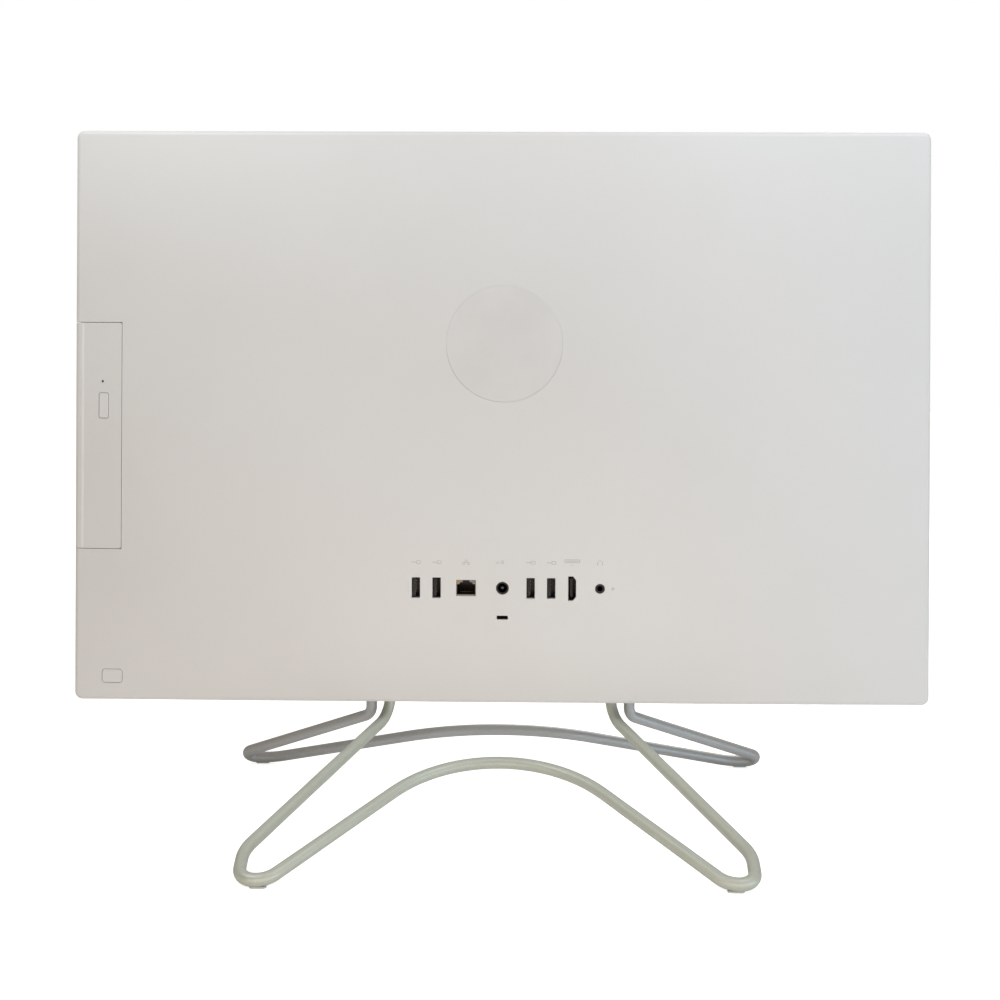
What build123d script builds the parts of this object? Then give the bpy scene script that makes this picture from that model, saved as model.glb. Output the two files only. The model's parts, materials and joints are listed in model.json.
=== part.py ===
from build123d import *
import math
import os

# All-in-one desktop computer: a flat display body on a stand of two bent steel tubes.
# Millimetres. +Z is up, the screen faces -Y, the ports face +Y, and the optical drive opens towards +X.
# The origin is on the desk, under the middle of the whole object.
# A "depth" is a distance behind the front face of the display body.

# ---------------------------------------------------------------- driving dimensions
BODY_W = 540.5
BODY_H = 361.2
BODY_Z = 59.0                      # underside of the display body above the desk
FRONT_Y = -77.5                    # front face of the display body
BEZEL_DEPTH = 9.0                  # front frame, from the front face to the seam
RIM_DEPTH = 40.0                   # edge of the back face
DOME = 6.0                         # how far the middle of the back stands out past its edge
DOME_SIDE_POWER = 3.0              # how late the dome falls away towards the sides, top and bottom
DOME_TOP_POWER = 2.4
DOME_BOTTOM_POWER = 8.0
WALL = 2.4
CORNER_R = 5.0
RIM_R = 3.0
FRONT_R = 1.5

SCREEN_W = 527.0                   # 23.8 inch panel
SCREEN_H = 296.5
TOP_MARGIN = 12.0
GLASS_LAP = 2.0                    # glass behind the frame, on every side
FRONT_WALL = 2.0
GLASS_T = 1.2
PANEL_T = 9.0
PLATE_DEPTH = 13.0
PLATE_T = 1.2

BOARD_DEPTH = 25.9                 # front face of the circuit board
BOARD_T = 1.6
BOARD_X = (-112.0, 104.0)
BOARD_Z = (112.0, 292.0)

PORT_Z = 132.6                     # one row of sockets
USB_X = (53.1, 40.1, -18.9, -31.8)
LAN_X = 21.6
DC_X = -1.2
VIDEO_X = -44.9
AUDIO_X = -62.3
LIGHT_X = -70.4
LOCK_X = -1.2
LOCK_Z = 114.1
PORT_MOUTH = 43.2                  # depth of the socket mouths, just inside the back wall
NOSE_MOUTH = 45.2                  # depth of the sockets that stand in their openings

TUBE_R = 3.5
PAD_T = 0.4
HINGE_Y = FRONT_Y + 25.2
HINGE_Z = 77.0
SHAFT_R = 3.0
SHAFT_CLEARANCE = 0.05
REAR_LEG_X = 70.8
FRONT_LEG_X = 82.8

DRIVE_X = (119.0, 245.5)
DRIVE_Z = 226.6
DRIVE_H = 128.0
DRIVE_DEPTH = (26.0, 35.5)
DOOR_X = 239.8                     # inner seam of the drive's cover
DOOR_Z = (155.0, 298.5)
DOOR_GAP = 0.35
EJECT_X = 251.6
EJECT_Z = 245.7
PINHOLE_Z = 261.0
POWER_X = 245.6
POWER_Z = 74.7

EMBLEM_X = -1.8
EMBLEM_Z = 285.8
EMBLEM_R = 36.7
EMBLEM_T = 0.5

HALF_W = BODY_W / 2
BODY_TOP = BODY_Z + BODY_H
BODY_MID = BODY_Z + BODY_H / 2
SCREEN_Z = (BODY_TOP - TOP_MARGIN - SCREEN_H, BODY_TOP - TOP_MARGIN)
PLATE_BACK = PLATE_DEPTH + PLATE_T
BOARD_BACK = BOARD_DEPTH + BOARD_T


# ---------------------------------------------------------------- shape helpers
def slab(x, depth, z, axis=None, r=0.0):
    """A box between two x, two depths and two z, with the edges along one axis rounded."""
    size = (x[1] - x[0], depth[1] - depth[0], z[1] - z[0])
    middle = (sum(x) / 2, FRONT_Y + sum(depth) / 2, sum(z) / 2)
    shape = Pos(*middle) * Box(*size)
    if r:
        shape = fillet(shape.edges().filter_by(axis), r)
    return shape


def rod_x(x, depth, z, r):
    """A round bar along X, between two x."""
    place = Pos((x[0] + x[1]) / 2, FRONT_Y + depth, z)
    return place * Rot(0, 90, 0) * Cylinder(r, x[1] - x[0])


def rod_y(x, depth, z, r):
    """A round bar along Y, between two depths."""
    place = Pos(x, FRONT_Y + (depth[0] + depth[1]) / 2, z)
    return place * Rot(90, 0, 0) * Cylinder(r, depth[1] - depth[0])


def rod_z(x, depth, z, r):
    """A round bar along Z, between two z."""
    return Pos(x, FRONT_Y + depth, (z[0] + z[1]) / 2) * Cylinder(r, z[1] - z[0])


def joined(shapes):
    """Several solids fused into one."""
    total = shapes[0]
    for shape in shapes[1:]:
        total = total + shape
    return total


def grouped(shapes):
    """Several separate solids kept together as one part file."""
    return Compound(children=[solid for shape in shapes for solid in shape.solids()])


def mirrored(shapes):
    """The shapes and their mirror images across the middle plane."""
    return list(shapes) + [mirror(shape, about=Plane.YZ) for shape in shapes]


# ---------------------------------------------------------------- body shells
def dome_height(x, z):
    """How far the back face stands out past its rim at x, z."""
    across = abs(x) / HALF_W
    up = (z - BODY_MID) / (BODY_H / 2)
    power = DOME_TOP_POWER if up > 0 else DOME_BOTTOM_POWER
    return DOME * (1 - across ** DOME_SIDE_POWER) * (1 - abs(up) ** power)


def back_depth(x, z):
    """Depth of the outside of the back face at x, z."""
    return RIM_DEPTH + dome_height(x, z)


def dome_block(inset):
    """Everything in front of the back face, or of its inside when inset is the wall."""
    margin = 6.0
    columns = 25
    rows = 31
    reach = 200.0
    points = []
    for i in range(columns):
        x = -HALF_W - margin + (BODY_W + 2 * margin) * i / (columns - 1)
        line = []
        for j in range(rows):
            z = BODY_Z - margin + (BODY_H + 2 * margin) * j / (rows - 1)
            line.append((x, FRONT_Y + back_depth(x, z) - inset, z))
        points.append(line)
    face = Face.make_surface_from_array_of_points(points, tol=0.01, min_deg=3, max_deg=5)
    return Solid.extrude(face, Vector(0, -reach, 0))


def body_prism(inset, depth):
    """The outline of the body, drawn in by inset, between two depths."""
    x = (-HALF_W + inset, HALF_W - inset)
    z = (BODY_Z + inset, BODY_TOP - inset)
    return slab(x, depth, z, Axis.Y, CORNER_R - inset)


def domed_body(inset, rim_radius):
    """The solid under the back face, with its rim rounded."""
    beyond = RIM_DEPTH + 2 * DOME
    body = body_prism(inset, (-inset, beyond)) & dome_block(inset)
    rim_y = FRONT_Y + RIM_DEPTH - inset
    rim = [edge for edge in body.edges() if abs(edge.center().Y - rim_y) < 0.5]
    return fillet(rim, rim_radius)


def stadium(x, z, width, height, depth, r):
    """An upright block with rounded corners, centred at x, z."""
    return slab((x - width / 2, x + width / 2), depth, (z - height / 2, z + height / 2), Axis.Y, r)


DOOR_BOX = slab((DOOR_X, HALF_W + 5), (BEZEL_DEPTH - 1, RIM_DEPTH + 10), DOOR_Z)
USB_OPENING = (5.34, 13.06)
LAN_OPENING = (12.4, 10.24)
DC_NOSE_R = 3.95
AUDIO_NOSE_R = 3.0
NOSE_GAP = 0.1
VIDEO_W = 5.0
VIDEO_H = 15.4
VIDEO_CUT = 1.9                    # the two slanted corners of the video socket
LOCK_OPENING = (7.0, 2.6)
LIGHT_R = 0.9
POWER_CAP = (12.6, 8.2)
BUTTON_GAP = 0.3
EJECT_CAP = (5.9, 15.7)
PINHOLE_R = 0.8


def video_outline(grow, depth):
    """The socket outline with two slanted corners on its -X side."""
    half_w = VIDEO_W / 2 + grow
    half_h = VIDEO_H / 2 + grow
    cut = VIDEO_CUT
    outline = Polyline(
        (half_w, -half_h), (half_w, half_h), (-half_w + cut, half_h), (-half_w, half_h - cut * 1.3),
        (-half_w, -half_h + cut * 1.3), (-half_w + cut, -half_h), close=True)
    face = make_face(Plane.XZ * outline)
    block = extrude(face, amount=depth[0] - depth[1])
    return Pos(VIDEO_X, FRONT_Y + depth[0], PORT_Z) * block


def port_openings():
    """The holes through the back wall for the row of sockets, the lock and the status light."""
    through = (PORT_MOUTH - 4, RIM_DEPTH + 2 * DOME)
    cuts = [stadium(x, PORT_Z, *USB_OPENING, through, 0.3) for x in USB_X]
    cuts.append(stadium(LAN_X, PORT_Z, *LAN_OPENING, through, 0.3))
    cuts.append(rod_y(DC_X, through, PORT_Z, DC_NOSE_R + NOSE_GAP))
    cuts.append(rod_y(AUDIO_X, through, PORT_Z, AUDIO_NOSE_R + NOSE_GAP))
    cuts.append(rod_y(LIGHT_X, through, PORT_Z, LIGHT_R + NOSE_GAP))
    cuts.append(video_outline(0.0, through))
    cuts.append(stadium(LOCK_X, LOCK_Z, *LOCK_OPENING, through, 0.5))
    return cuts


SLOT_X = (65.2, 88.4)              # each pair of legs passes one slot in the underside
SLOT_DEPTH = (18.8, 36.3)
VENT_W = 2.4
VENT_PITCH = 6.0
TOP_VENTS = 41
TOP_VENT_DEPTH = (16.0, 33.0)
LOW_VENTS = 20
LOW_VENT_X = 112.0
LOW_VENT_DEPTH = (17.0, 31.0)
COVER_SCREW_X = (106.0, 244.0)
COVER_SCREW_DEPTH = 24.0
FLANGE_Z = 66.0
FLANGE_T = 1.2
BOSS_R = 4.0
COVER_SCREW_R = 1.5
COVER_HEAD_R = 2.7
COVER_HEAD = (0.3, 1.9)            # the screw's head, above the underside
CROSS_W = 0.3                      # half the width and length of the cross in the head, and its depth
CROSS_L = 1.6
CROSS_DEEP = 1.1
LEG_SLOT_R = 3.0
VENT_R = 1.1


def underside_openings():
    """Slots for the legs and rows of air slots, top and bottom."""
    deep = (BODY_Z - 1, BODY_Z + WALL + 1)
    high = (BODY_TOP - WALL - 1, BODY_TOP + 1)
    cuts = mirrored([slab(SLOT_X, SLOT_DEPTH, deep, Axis.Z, LEG_SLOT_R)])
    for i in range(TOP_VENTS):
        x = (i - (TOP_VENTS - 1) / 2) * VENT_PITCH
        cuts.append(slab((x - VENT_W / 2, x + VENT_W / 2), TOP_VENT_DEPTH, high, Axis.Z, VENT_R))
    low = []
    for i in range(LOW_VENTS):
        x = LOW_VENT_X + i * VENT_PITCH
        low.append(slab((x - VENT_W / 2, x + VENT_W / 2), LOW_VENT_DEPTH, deep, Axis.Z, VENT_R))
    return cuts + mirrored(low)


def cover_bosses():
    """Short posts on the inside of the underside, which meet the frame's flange."""
    posts = []
    for x in COVER_SCREW_X:
        posts.append(rod_z(x, COVER_SCREW_DEPTH, (BODY_Z + WALL / 2, FLANGE_Z), BOSS_R))
    return mirrored(posts)


def cover_screw_holes():
    holes = []
    for x in COVER_SCREW_X:
        holes.append(rod_z(x, COVER_SCREW_DEPTH, (BODY_Z - 1, FLANGE_Z + 1), COVER_SCREW_R + 0.2))
        holes.append(rod_z(x, COVER_SCREW_DEPTH, (BODY_Z - 1, BODY_Z + COVER_HEAD[1]), COVER_HEAD_R + 0.3))
    return mirrored(holes)


def cover_screws():
    screws = []
    for x in COVER_SCREW_X:
        depth = COVER_SCREW_DEPTH
        head = rod_z(x, depth, (BODY_Z + COVER_HEAD[0], BODY_Z + COVER_HEAD[1]), COVER_HEAD_R)
        shank = rod_z(x, depth, (BODY_Z + COVER_HEAD[1], FLANGE_Z + 6), COVER_SCREW_R)
        cross_z = (BODY_Z, BODY_Z + CROSS_DEEP)
        along = slab((x - CROSS_L, x + CROSS_L), (depth - CROSS_W, depth + CROSS_W), cross_z)
        across = slab((x - CROSS_W, x + CROSS_W), (depth - CROSS_L, depth + CROSS_L), cross_z)
        screws.append(head + shank - along - across)
    return grouped(mirrored(screws))


def make_shell():
    """The whole domed back shell, before the drive's cover is parted from it."""
    shell = domed_body(0, RIM_R) - domed_body(WALL, RIM_R - WALL)
    behind_seam = slab((-HALF_W - 9, HALF_W + 9), (BEZEL_DEPTH, RIM_DEPTH + 20),
                       (BODY_Z - 9, BODY_TOP + 9))
    return shell & behind_seam


def make_rear_cover(shell):
    cover = shell - DOOR_BOX
    cover = joined([cover] + cover_bosses())
    for cut in port_openings() + underside_openings() + cover_screw_holes():
        cover = cover - cut
    hole = (POWER_CAP[0] + 2 * BUTTON_GAP, POWER_CAP[1] + 2 * BUTTON_GAP)
    cover = cover - stadium(POWER_X, POWER_Z, *hole, (RIM_DEPTH - 9, RIM_DEPTH + 9), 2.0)
    floor = back_depth(EMBLEM_X, EMBLEM_Z) - EMBLEM_T - 0.1
    return cover - rod_y(EMBLEM_X, (floor, floor + 9), EMBLEM_Z, EMBLEM_R)


def make_emblem():
    """A plain blank disc let into the back."""
    floor = back_depth(EMBLEM_X, EMBLEM_Z) - EMBLEM_T - 0.1
    disc = rod_y(EMBLEM_X, (floor, floor + EMBLEM_T), EMBLEM_Z, EMBLEM_R - 0.05)
    rear_edge = disc.edges().filter_by(GeomType.CIRCLE).sort_by(Axis.Y)[-1]
    return fillet(rear_edge, 0.2)


# ---------------------------------------------------------------- front frame and display
GRILLE_X = 200.0
GRILLE_Z = (71.0, 81.0)
GRILLE_SLOTS = 79
GRILLE_PITCH = 5.0
WEBCAM_Z = BODY_TOP - 5.5
LENS_R = 1.5
MIC_X = 14.0
MIC_R = 0.5
LIP_GAP = 0.15                     # a lip behind the front frame, which the back cover slides over
LIP_T = 1.1
LIP_BACK = 2.6
LIP_FRONT = 3.0
WEB_T = 1.5
STRIP_FRONT = 0.4                  # the slotted strip stands this far back from the front face
STRIP_GAP = 0.1
STRIP_FLANGE = (3.0, 2.0, 0.8)     # width at the ends, width above and below, thickness
GRILLE_SLOT_R = 0.9


def make_front_frame():
    frame = body_prism(0, (0, BEZEL_DEPTH))
    front_edges = frame.faces().sort_by(Axis.Y)[0].edges()
    frame = fillet(front_edges, FRONT_R)
    frame = frame - body_prism(WALL, (FRONT_WALL, BEZEL_DEPTH + 1))
    lip_depth = (BEZEL_DEPTH - LIP_FRONT, BEZEL_DEPTH + LIP_BACK)
    web_depth = (BEZEL_DEPTH - LIP_FRONT, BEZEL_DEPTH - LIP_FRONT + WEB_T)
    lip = body_prism(WALL + LIP_GAP, lip_depth) - body_prism(WALL + LIP_GAP + LIP_T, (0, BEZEL_DEPTH + 5))
    web = body_prism(WALL, web_depth) - body_prism(WALL + 1, (0, BEZEL_DEPTH))
    frame = joined([frame, lip, web])
    frame = frame - slab((-SCREEN_W / 2, SCREEN_W / 2), (-1, FRONT_WALL + 1), SCREEN_Z, Axis.Y, 0.8)
    frame = frame - slab((-GRILLE_X, GRILLE_X), (-1, FRONT_WALL + 1), GRILLE_Z, Axis.Y, 4.9)
    frame = frame - rod_y(0, (-1, FRONT_WALL + 1), WEBCAM_Z, LENS_R)
    for x in (-MIC_X, MIC_X):
        frame = frame - rod_y(x, (-1, FRONT_WALL + 1), WEBCAM_Z, MIC_R)
    return frame


def make_speaker_grille():
    """The slotted strip in the chin, held from behind by its flange."""
    strip = slab((-GRILLE_X + STRIP_GAP, GRILLE_X - STRIP_GAP), (STRIP_FRONT, FRONT_WALL),
                 (GRILLE_Z[0] + STRIP_GAP, GRILLE_Z[1] - STRIP_GAP), Axis.Y, 4.8)
    end, side, thick = STRIP_FLANGE
    flange = slab((-GRILLE_X - end, GRILLE_X + end), (FRONT_WALL, FRONT_WALL + thick),
                  (GRILLE_Z[0] - side, GRILLE_Z[1] + side))
    grille = strip + flange
    for i in range(GRILLE_SLOTS):
        x = (i - (GRILLE_SLOTS - 1) / 2) * GRILLE_PITCH
        grille = grille - slab((x - 1, x + 1), (0, FRONT_WALL + 2),
                               (GRILLE_Z[0] + 1.5, GRILLE_Z[1] - 1.5), Axis.Y, GRILLE_SLOT_R)
    return grille


def make_display_glass():
    half = SCREEN_W / 2 + GLASS_LAP
    return slab((-half, half), (FRONT_WALL, FRONT_WALL + GLASS_T),
                (SCREEN_Z[0] - GLASS_LAP, SCREEN_Z[1] + GLASS_LAP))


FIELD_W = 160.0                    # the fields pressed into the panel's back
FIELD_PITCH = 176.0
FIELD_DEEP = 1.2


def make_display_panel():
    """The panel's tray: a shallow metal pan with pressed fields on its back."""
    half = SCREEN_W / 2 + 0.5
    start = FRONT_WALL + GLASS_T
    panel = slab((-half, half), (start, start + PANEL_T), (SCREEN_Z[0] - 2, SCREEN_Z[1] + 2), Axis.Y, 1.5)
    field = (start + PANEL_T - FIELD_DEEP, start + PANEL_T + 1)
    for x in (-FIELD_PITCH, 0, FIELD_PITCH):
        sides = (x - FIELD_W / 2, x + FIELD_W / 2)
        panel = panel - slab(sides, field, (SCREEN_Z[0] + 30, SCREEN_Z[1] - 12), Axis.Y, 6)
    return panel


CAM_BOARD = (30.0, 2.1)            # half the width and height of the camera's board
CAM_BOARD_DEPTH = (4.2, 5.4)
CAM_DEPTH = (2.2, 4.2)
CAM_HALF_W = 4.0
LENS_FRONT = 0.9
MIC_HALF = 1.5
MIC_DEPTH = (3.2, 4.2)


def make_webcam():
    z = (WEBCAM_Z - CAM_BOARD[1], WEBCAM_Z + CAM_BOARD[1])
    board = slab((-CAM_BOARD[0], CAM_BOARD[0]), CAM_BOARD_DEPTH, z)
    housing = slab((-CAM_HALF_W, CAM_HALF_W), CAM_DEPTH, z, Axis.Y, 1)
    lens = rod_y(0, (LENS_FRONT, CAM_DEPTH[0]), WEBCAM_Z, LENS_R - 0.1)
    mics = []
    for x in (-MIC_X, MIC_X):
        mics.append(slab((x - MIC_HALF, x + MIC_HALF), MIC_DEPTH, (WEBCAM_Z - MIC_HALF, WEBCAM_Z + MIC_HALF)))
    return joined([board, housing, lens] + mics)


# ---------------------------------------------------------------- frame plate and cooling
BOARD_HOLES = (
    (-106.0, 118.0), (98.0, 118.0), (-106.0, 286.0), (98.0, 286.0), (-106.0, 202.0), (98.0, 190.0))
BOARD_SCREW_R = 1.25
BOARD_HEAD_R = 2.8
BOARD_HEAD_T = 1.8
STANDOFF_R = 3.0
PLATE_EDGE_X = 261.0
FLANGE_X = (100.0, 256.0)
FLANGE_BACK = 33.0
CPU_X = -34.0
CPU_Z = 212.0
FAN_X = -62.0
FAN_Z = 344.0
BLOWER_DEPTH = (25.0, 37.0)
BLOWER_WALL = 1.4
BLOWER_R = 37.0
BLOWER_EARS = ((-41.0, -8.0), (41.0, -8.0))
AXLE_R = 1.5
ROTOR_R = 33.0
FIN_X = (-102.0, -22.0)
FIN_Z = (391.0, 409.0)
FIN_DEPTH = (26.0, 37.0)
PIPE_W = 8.0
PIPE_DEPTH = (31.5, 34.5)
PIPE_RISE_X = -8.0
PIPE_TOP_Z = 400.0
PIPE_BEND_R = 14.0
PLATE_WINDOW = (48.0, 40.0)
PLATE_WINDOWS = (
    (-220.0, 300.0), (-150.0, 300.0), (30.0, 350.0), (100.0, 350.0), (210.0, 350.0), (-190.0, 110.0))
CPU_HALF = 18.0
CPU_T = 1.8
COLD_HALF = 17.0
ARM_SIZE = (76.0, 1.2, 9.0)
ARM_SCREW = 24.0                   # the spring screws, from the middle of the processor
FIN_COUNT = 27
FIN_T = 0.8
FIN_BASE_T = 1.0
BLADES = 25
BLADE_SIZE = (14.0, 0.8)
BLADE_R = 26.0                     # where the middle of each blade is
BLADE_LEAN = 35.0
ROTOR_CUP_R = 13.0
ROTOR_GAP = 0.8
INTAKE_R = 23.0
EAR_R = 4.0
BLOWER_HEAD_R = 2.6
BLOWER_HEAD_T = 1.6


def make_frame_plate():
    """The pressed steel plate that everything inside is bolted to, with a flange along the bottom."""
    plate = slab((-PLATE_EDGE_X, PLATE_EDGE_X), (PLATE_DEPTH, PLATE_BACK), (FLANGE_Z, BODY_TOP - 5),
                 Axis.Y, 4)
    for x, z in PLATE_WINDOWS:
        plate = plate - stadium(x, z, *PLATE_WINDOW, (PLATE_DEPTH - 1, PLATE_BACK + 1), 8)
    flanges = mirrored([slab(FLANGE_X, (PLATE_DEPTH, FLANGE_BACK), (FLANGE_Z, FLANGE_Z + FLANGE_T))])
    plate = joined([plate] + flanges + board_standoffs())
    for cut in mirrored([rod_z(x, COVER_SCREW_DEPTH, (FLANGE_Z - 1, FLANGE_Z + 3), COVER_SCREW_R)
                         for x in COVER_SCREW_X]):
        plate = plate - cut
    return plate


def board_standoffs():
    """Threaded posts swaged into the plate, under the corners of the board."""
    posts = []
    for x, z in BOARD_HOLES:
        post = rod_y(x, (PLATE_BACK - PLATE_T / 2, BOARD_DEPTH), z, STANDOFF_R)
        posts.append(post - rod_y(x, (PLATE_BACK + 3, BOARD_DEPTH + 1), z, BOARD_SCREW_R))
    return posts


def make_board_screws():
    screws = []
    for x, z in BOARD_HOLES:
        head = rod_y(x, (BOARD_BACK, BOARD_BACK + BOARD_HEAD_T), z, BOARD_HEAD_R)
        shank = rod_y(x, (BOARD_DEPTH - 6, BOARD_BACK), z, BOARD_SCREW_R)
        screws.append(head + shank - rod_y(x, (BOARD_BACK + 0.8, BOARD_BACK + 2), z, 1.1))
    return grouped(screws)


def make_main_board():
    board = slab(BOARD_X, (BOARD_DEPTH, BOARD_BACK), BOARD_Z, Axis.Y, 3)
    for x, z in BOARD_HOLES:
        board = board - rod_y(x, (BOARD_DEPTH - 1, BOARD_BACK + 1), z, BOARD_SCREW_R + 0.15)
    return board


CHIPSET = ((20.0, 38.0), 1.4, (168.0, 186.0))
COIL_X = (-98.0, -88.0)
COIL_Z = 236.0
COIL_PITCH = 11.0
COIL_H = 5.0
CAN_X = -80.0
CAN_R = 3.2
CAN_H = 7.0
BOARD_PLUGS = (((-100.0, -72.0), 4.0, (186.0, 192.0)), ((60.0, 84.0), 6.0, (270.0, 277.0)))


def on_board(x, height, z, r=0.0):
    """A block that stands on the back of the board."""
    return slab(x, (BOARD_BACK, BOARD_BACK + height), z, Axis.Y, r)


def make_board_parts():
    """Coils, capacitors, the chipset and connectors on the board."""
    parts = [on_board(*CHIPSET)]
    for i in range(4):
        z = COIL_Z + i * COIL_PITCH
        parts.append(on_board(COIL_X, COIL_H, (z, z + 8), 1))
        parts.append(rod_y(CAN_X, (BOARD_BACK, BOARD_BACK + CAN_H), z + 4, CAN_R))
    parts.extend(on_board(*plug) for plug in BOARD_PLUGS)
    return grouped(parts)


def make_processor():
    return on_board((CPU_X - CPU_HALF, CPU_X + CPU_HALF), CPU_T, (CPU_Z - CPU_HALF, CPU_Z + CPU_HALF))


def make_cold_plate():
    """The copper block on the processor, with its four spring-screw arms."""
    start = BOARD_BACK + CPU_T
    block = slab((CPU_X - COLD_HALF, CPU_X + COLD_HALF), (start, PIPE_DEPTH[0]),
                 (CPU_Z - COLD_HALF, CPU_Z + COLD_HALF), Axis.Y, 2)
    middle = Pos(CPU_X, FRONT_Y + PIPE_DEPTH[0] - ARM_SIZE[1] / 2, CPU_Z)
    arms = [middle * Rot(0, turn, 0) * Box(*ARM_SIZE) for turn in (-45, 45)]
    plate = joined([block] + arms)
    for dx in (-ARM_SCREW, ARM_SCREW):
        for dz in (-ARM_SCREW, ARM_SCREW):
            plate = plate - rod_y(CPU_X + dx, (start, PIPE_DEPTH[0] + 1), CPU_Z + dz, 1.6)
    return plate


def make_heat_pipe():
    """The flattened pipe from the processor, up beside the blower and through the fins."""
    path = FilletPolyline(
        (CPU_X - 14, CPU_Z - 12), (CPU_X + 4, CPU_Z + 2), (PIPE_RISE_X, CPU_Z + 40),
        (PIPE_RISE_X, PIPE_TOP_Z), (FIN_X[0] + 2, PIPE_TOP_Z), radius=PIPE_BEND_R)
    outline = Plane.XZ * trace(path, PIPE_W)
    pipe = extrude(outline, amount=PIPE_DEPTH[0] - PIPE_DEPTH[1])
    return Pos(0, FRONT_Y + PIPE_DEPTH[0], 0) * pipe


def make_heatsink_fins(pipe):
    """A stack of upright fins on one base, with a tunnel for the pipe."""
    base = slab(FIN_X, (FIN_DEPTH[0], FIN_DEPTH[0] + FIN_BASE_T), FIN_Z)
    fins = [base]
    for i in range(FIN_COUNT):
        x = FIN_X[0] + (FIN_X[1] - FIN_X[0] - FIN_T) * i / (FIN_COUNT - 1)
        fins.append(slab((x, x + FIN_T), FIN_DEPTH, FIN_Z))
    tunnel = slab((FIN_X[0] - 1, FIN_X[1] + 1), PIPE_DEPTH,
                  (PIPE_TOP_Z - PIPE_W / 2, PIPE_TOP_Z + PIPE_W / 2))
    return joined(fins) - tunnel - pipe


def volute(grow, depth):
    """The round chamber of the blower with its outlet upwards."""
    chamber = rod_y(FAN_X, depth, FAN_Z, BLOWER_R + grow)
    outlet = slab((FAN_X - BLOWER_R - grow, FAN_X + BLOWER_R + grow), depth, (FAN_Z, FIN_Z[0] - 1))
    return chamber + outlet


def make_blower_housing():
    floor = BLOWER_DEPTH[0] + BLOWER_WALL
    lid = BLOWER_DEPTH[1] - BLOWER_WALL
    shell = volute(BLOWER_WALL, (BLOWER_DEPTH[0], lid))
    cavity = volute(0, (floor, lid + 1))
    mouth = slab((FAN_X - BLOWER_R, FAN_X + BLOWER_R), (floor, lid + 1), (FAN_Z, FIN_Z[0] + 1))
    legs = [rod_y(FAN_X + dx, (PLATE_BACK, BLOWER_DEPTH[0] + 2), FAN_Z + dz, EAR_R) for dx, dz in BLOWER_EARS]
    housing = joined([shell] + legs) - cavity - mouth
    housing = housing + rod_y(FAN_X, (floor - 0.5, lid - 2.2), FAN_Z, AXLE_R)
    for dx, dz in BLOWER_EARS:
        hole = (PLATE_BACK + 2, BLOWER_DEPTH[0] + 3)
        housing = housing - rod_y(FAN_X + dx, hole, FAN_Z + dz, BOARD_SCREW_R)
    return housing


def make_blower_lid():
    lid = BLOWER_DEPTH[1] - BLOWER_WALL
    return volute(BLOWER_WALL, (lid, BLOWER_DEPTH[1])) - rod_y(FAN_X, (lid - 1, lid + 3), FAN_Z, INTAKE_R)


def make_blower_screws():
    screws = []
    for dx, dz in BLOWER_EARS:
        seat = BLOWER_DEPTH[0] + 2
        head = rod_y(FAN_X + dx, (seat, seat + BLOWER_HEAD_T), FAN_Z + dz, BLOWER_HEAD_R)
        shank = rod_y(FAN_X + dx, (PLATE_BACK + 3, seat), FAN_Z + dz, BOARD_SCREW_R)
        screws.append(head + shank)
    return grouped(screws)


def make_rotor():
    """The blower's wheel: a cup on a hub with curved blades and a ring."""
    low = BLOWER_DEPTH[0] + BLOWER_WALL + ROTOR_GAP
    high = BLOWER_DEPTH[1] - BLOWER_WALL - ROTOR_GAP
    disc = rod_y(FAN_X, (low, low + 1), FAN_Z, ROTOR_R)
    cup = rod_y(FAN_X, (low, high), FAN_Z, ROTOR_CUP_R)
    vanes = []
    for i in range(BLADES):
        turn = 360 * i / BLADES
        blade = Pos(BLADE_R, 0, 0) * Rot(0, 0, BLADE_LEAN) * Box(*BLADE_SIZE, high - low)
        place = Pos(FAN_X, FRONT_Y + (low + high) / 2, FAN_Z) * Rot(90, 0, 0) * Rot(0, 0, turn)
        vanes.append(place * blade)
    rotor = joined([disc, cup] + vanes) & rod_y(FAN_X, (low, high), FAN_Z, ROTOR_R)
    return rotor - rod_y(FAN_X, (low - 1, high - 1), FAN_Z, AXLE_R + SHAFT_CLEARANCE)


# ---------------------------------------------------------------- sockets
def socket_block(x, width, height, depth, r=0.3):
    return stadium(x, PORT_Z, width, height, depth, r)


USB_OUTSIDE = (6.1, 13.4)
USB_INSIDE = (5.12, 12.5)
USB_CORE = (5.0, 12.3)
USB_TONGUE_X = (0.2, 2.0)          # from the middle of the socket
USB_TONGUE_H = 11.2
SOCKET_BACK = 2.0                  # thickness of a socket's back wall


def make_usb_shell(x):
    """The steel sleeve of one socket, open to the rear."""
    sleeve = socket_block(x, *USB_OUTSIDE, (BOARD_BACK, PORT_MOUTH))
    return sleeve - socket_block(x, *USB_INSIDE, (BOARD_BACK + SOCKET_BACK, PORT_MOUTH + 1), 0.2)


def make_usb_tongues():
    tongues = []
    for x in USB_X:
        core = socket_block(x, *USB_CORE, (BOARD_BACK + SOCKET_BACK, BOARD_BACK + 7), 0.2)
        tongue = slab((x + USB_TONGUE_X[0], x + USB_TONGUE_X[1]), (BOARD_BACK + 6, PORT_MOUTH - 0.8),
                      (PORT_Z - USB_TONGUE_H / 2, PORT_Z + USB_TONGUE_H / 2))
        tongues.append(core + tongue)
    return grouped(tongues)


LAN_BODY = (15.8, 13.4)
LAN_CAVITY = (11.6, 6.6)
LAN_STEP = ((8.4, 1.2), (4.4, 2.4))  # width and height of the two steps over the cavity
LAN_SILL = 0.9
LAN_WALL = 3.0
LAN_WIRE_PITCH = 1.02
LAN_WINDOW = (2.1, 1.7)


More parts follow.
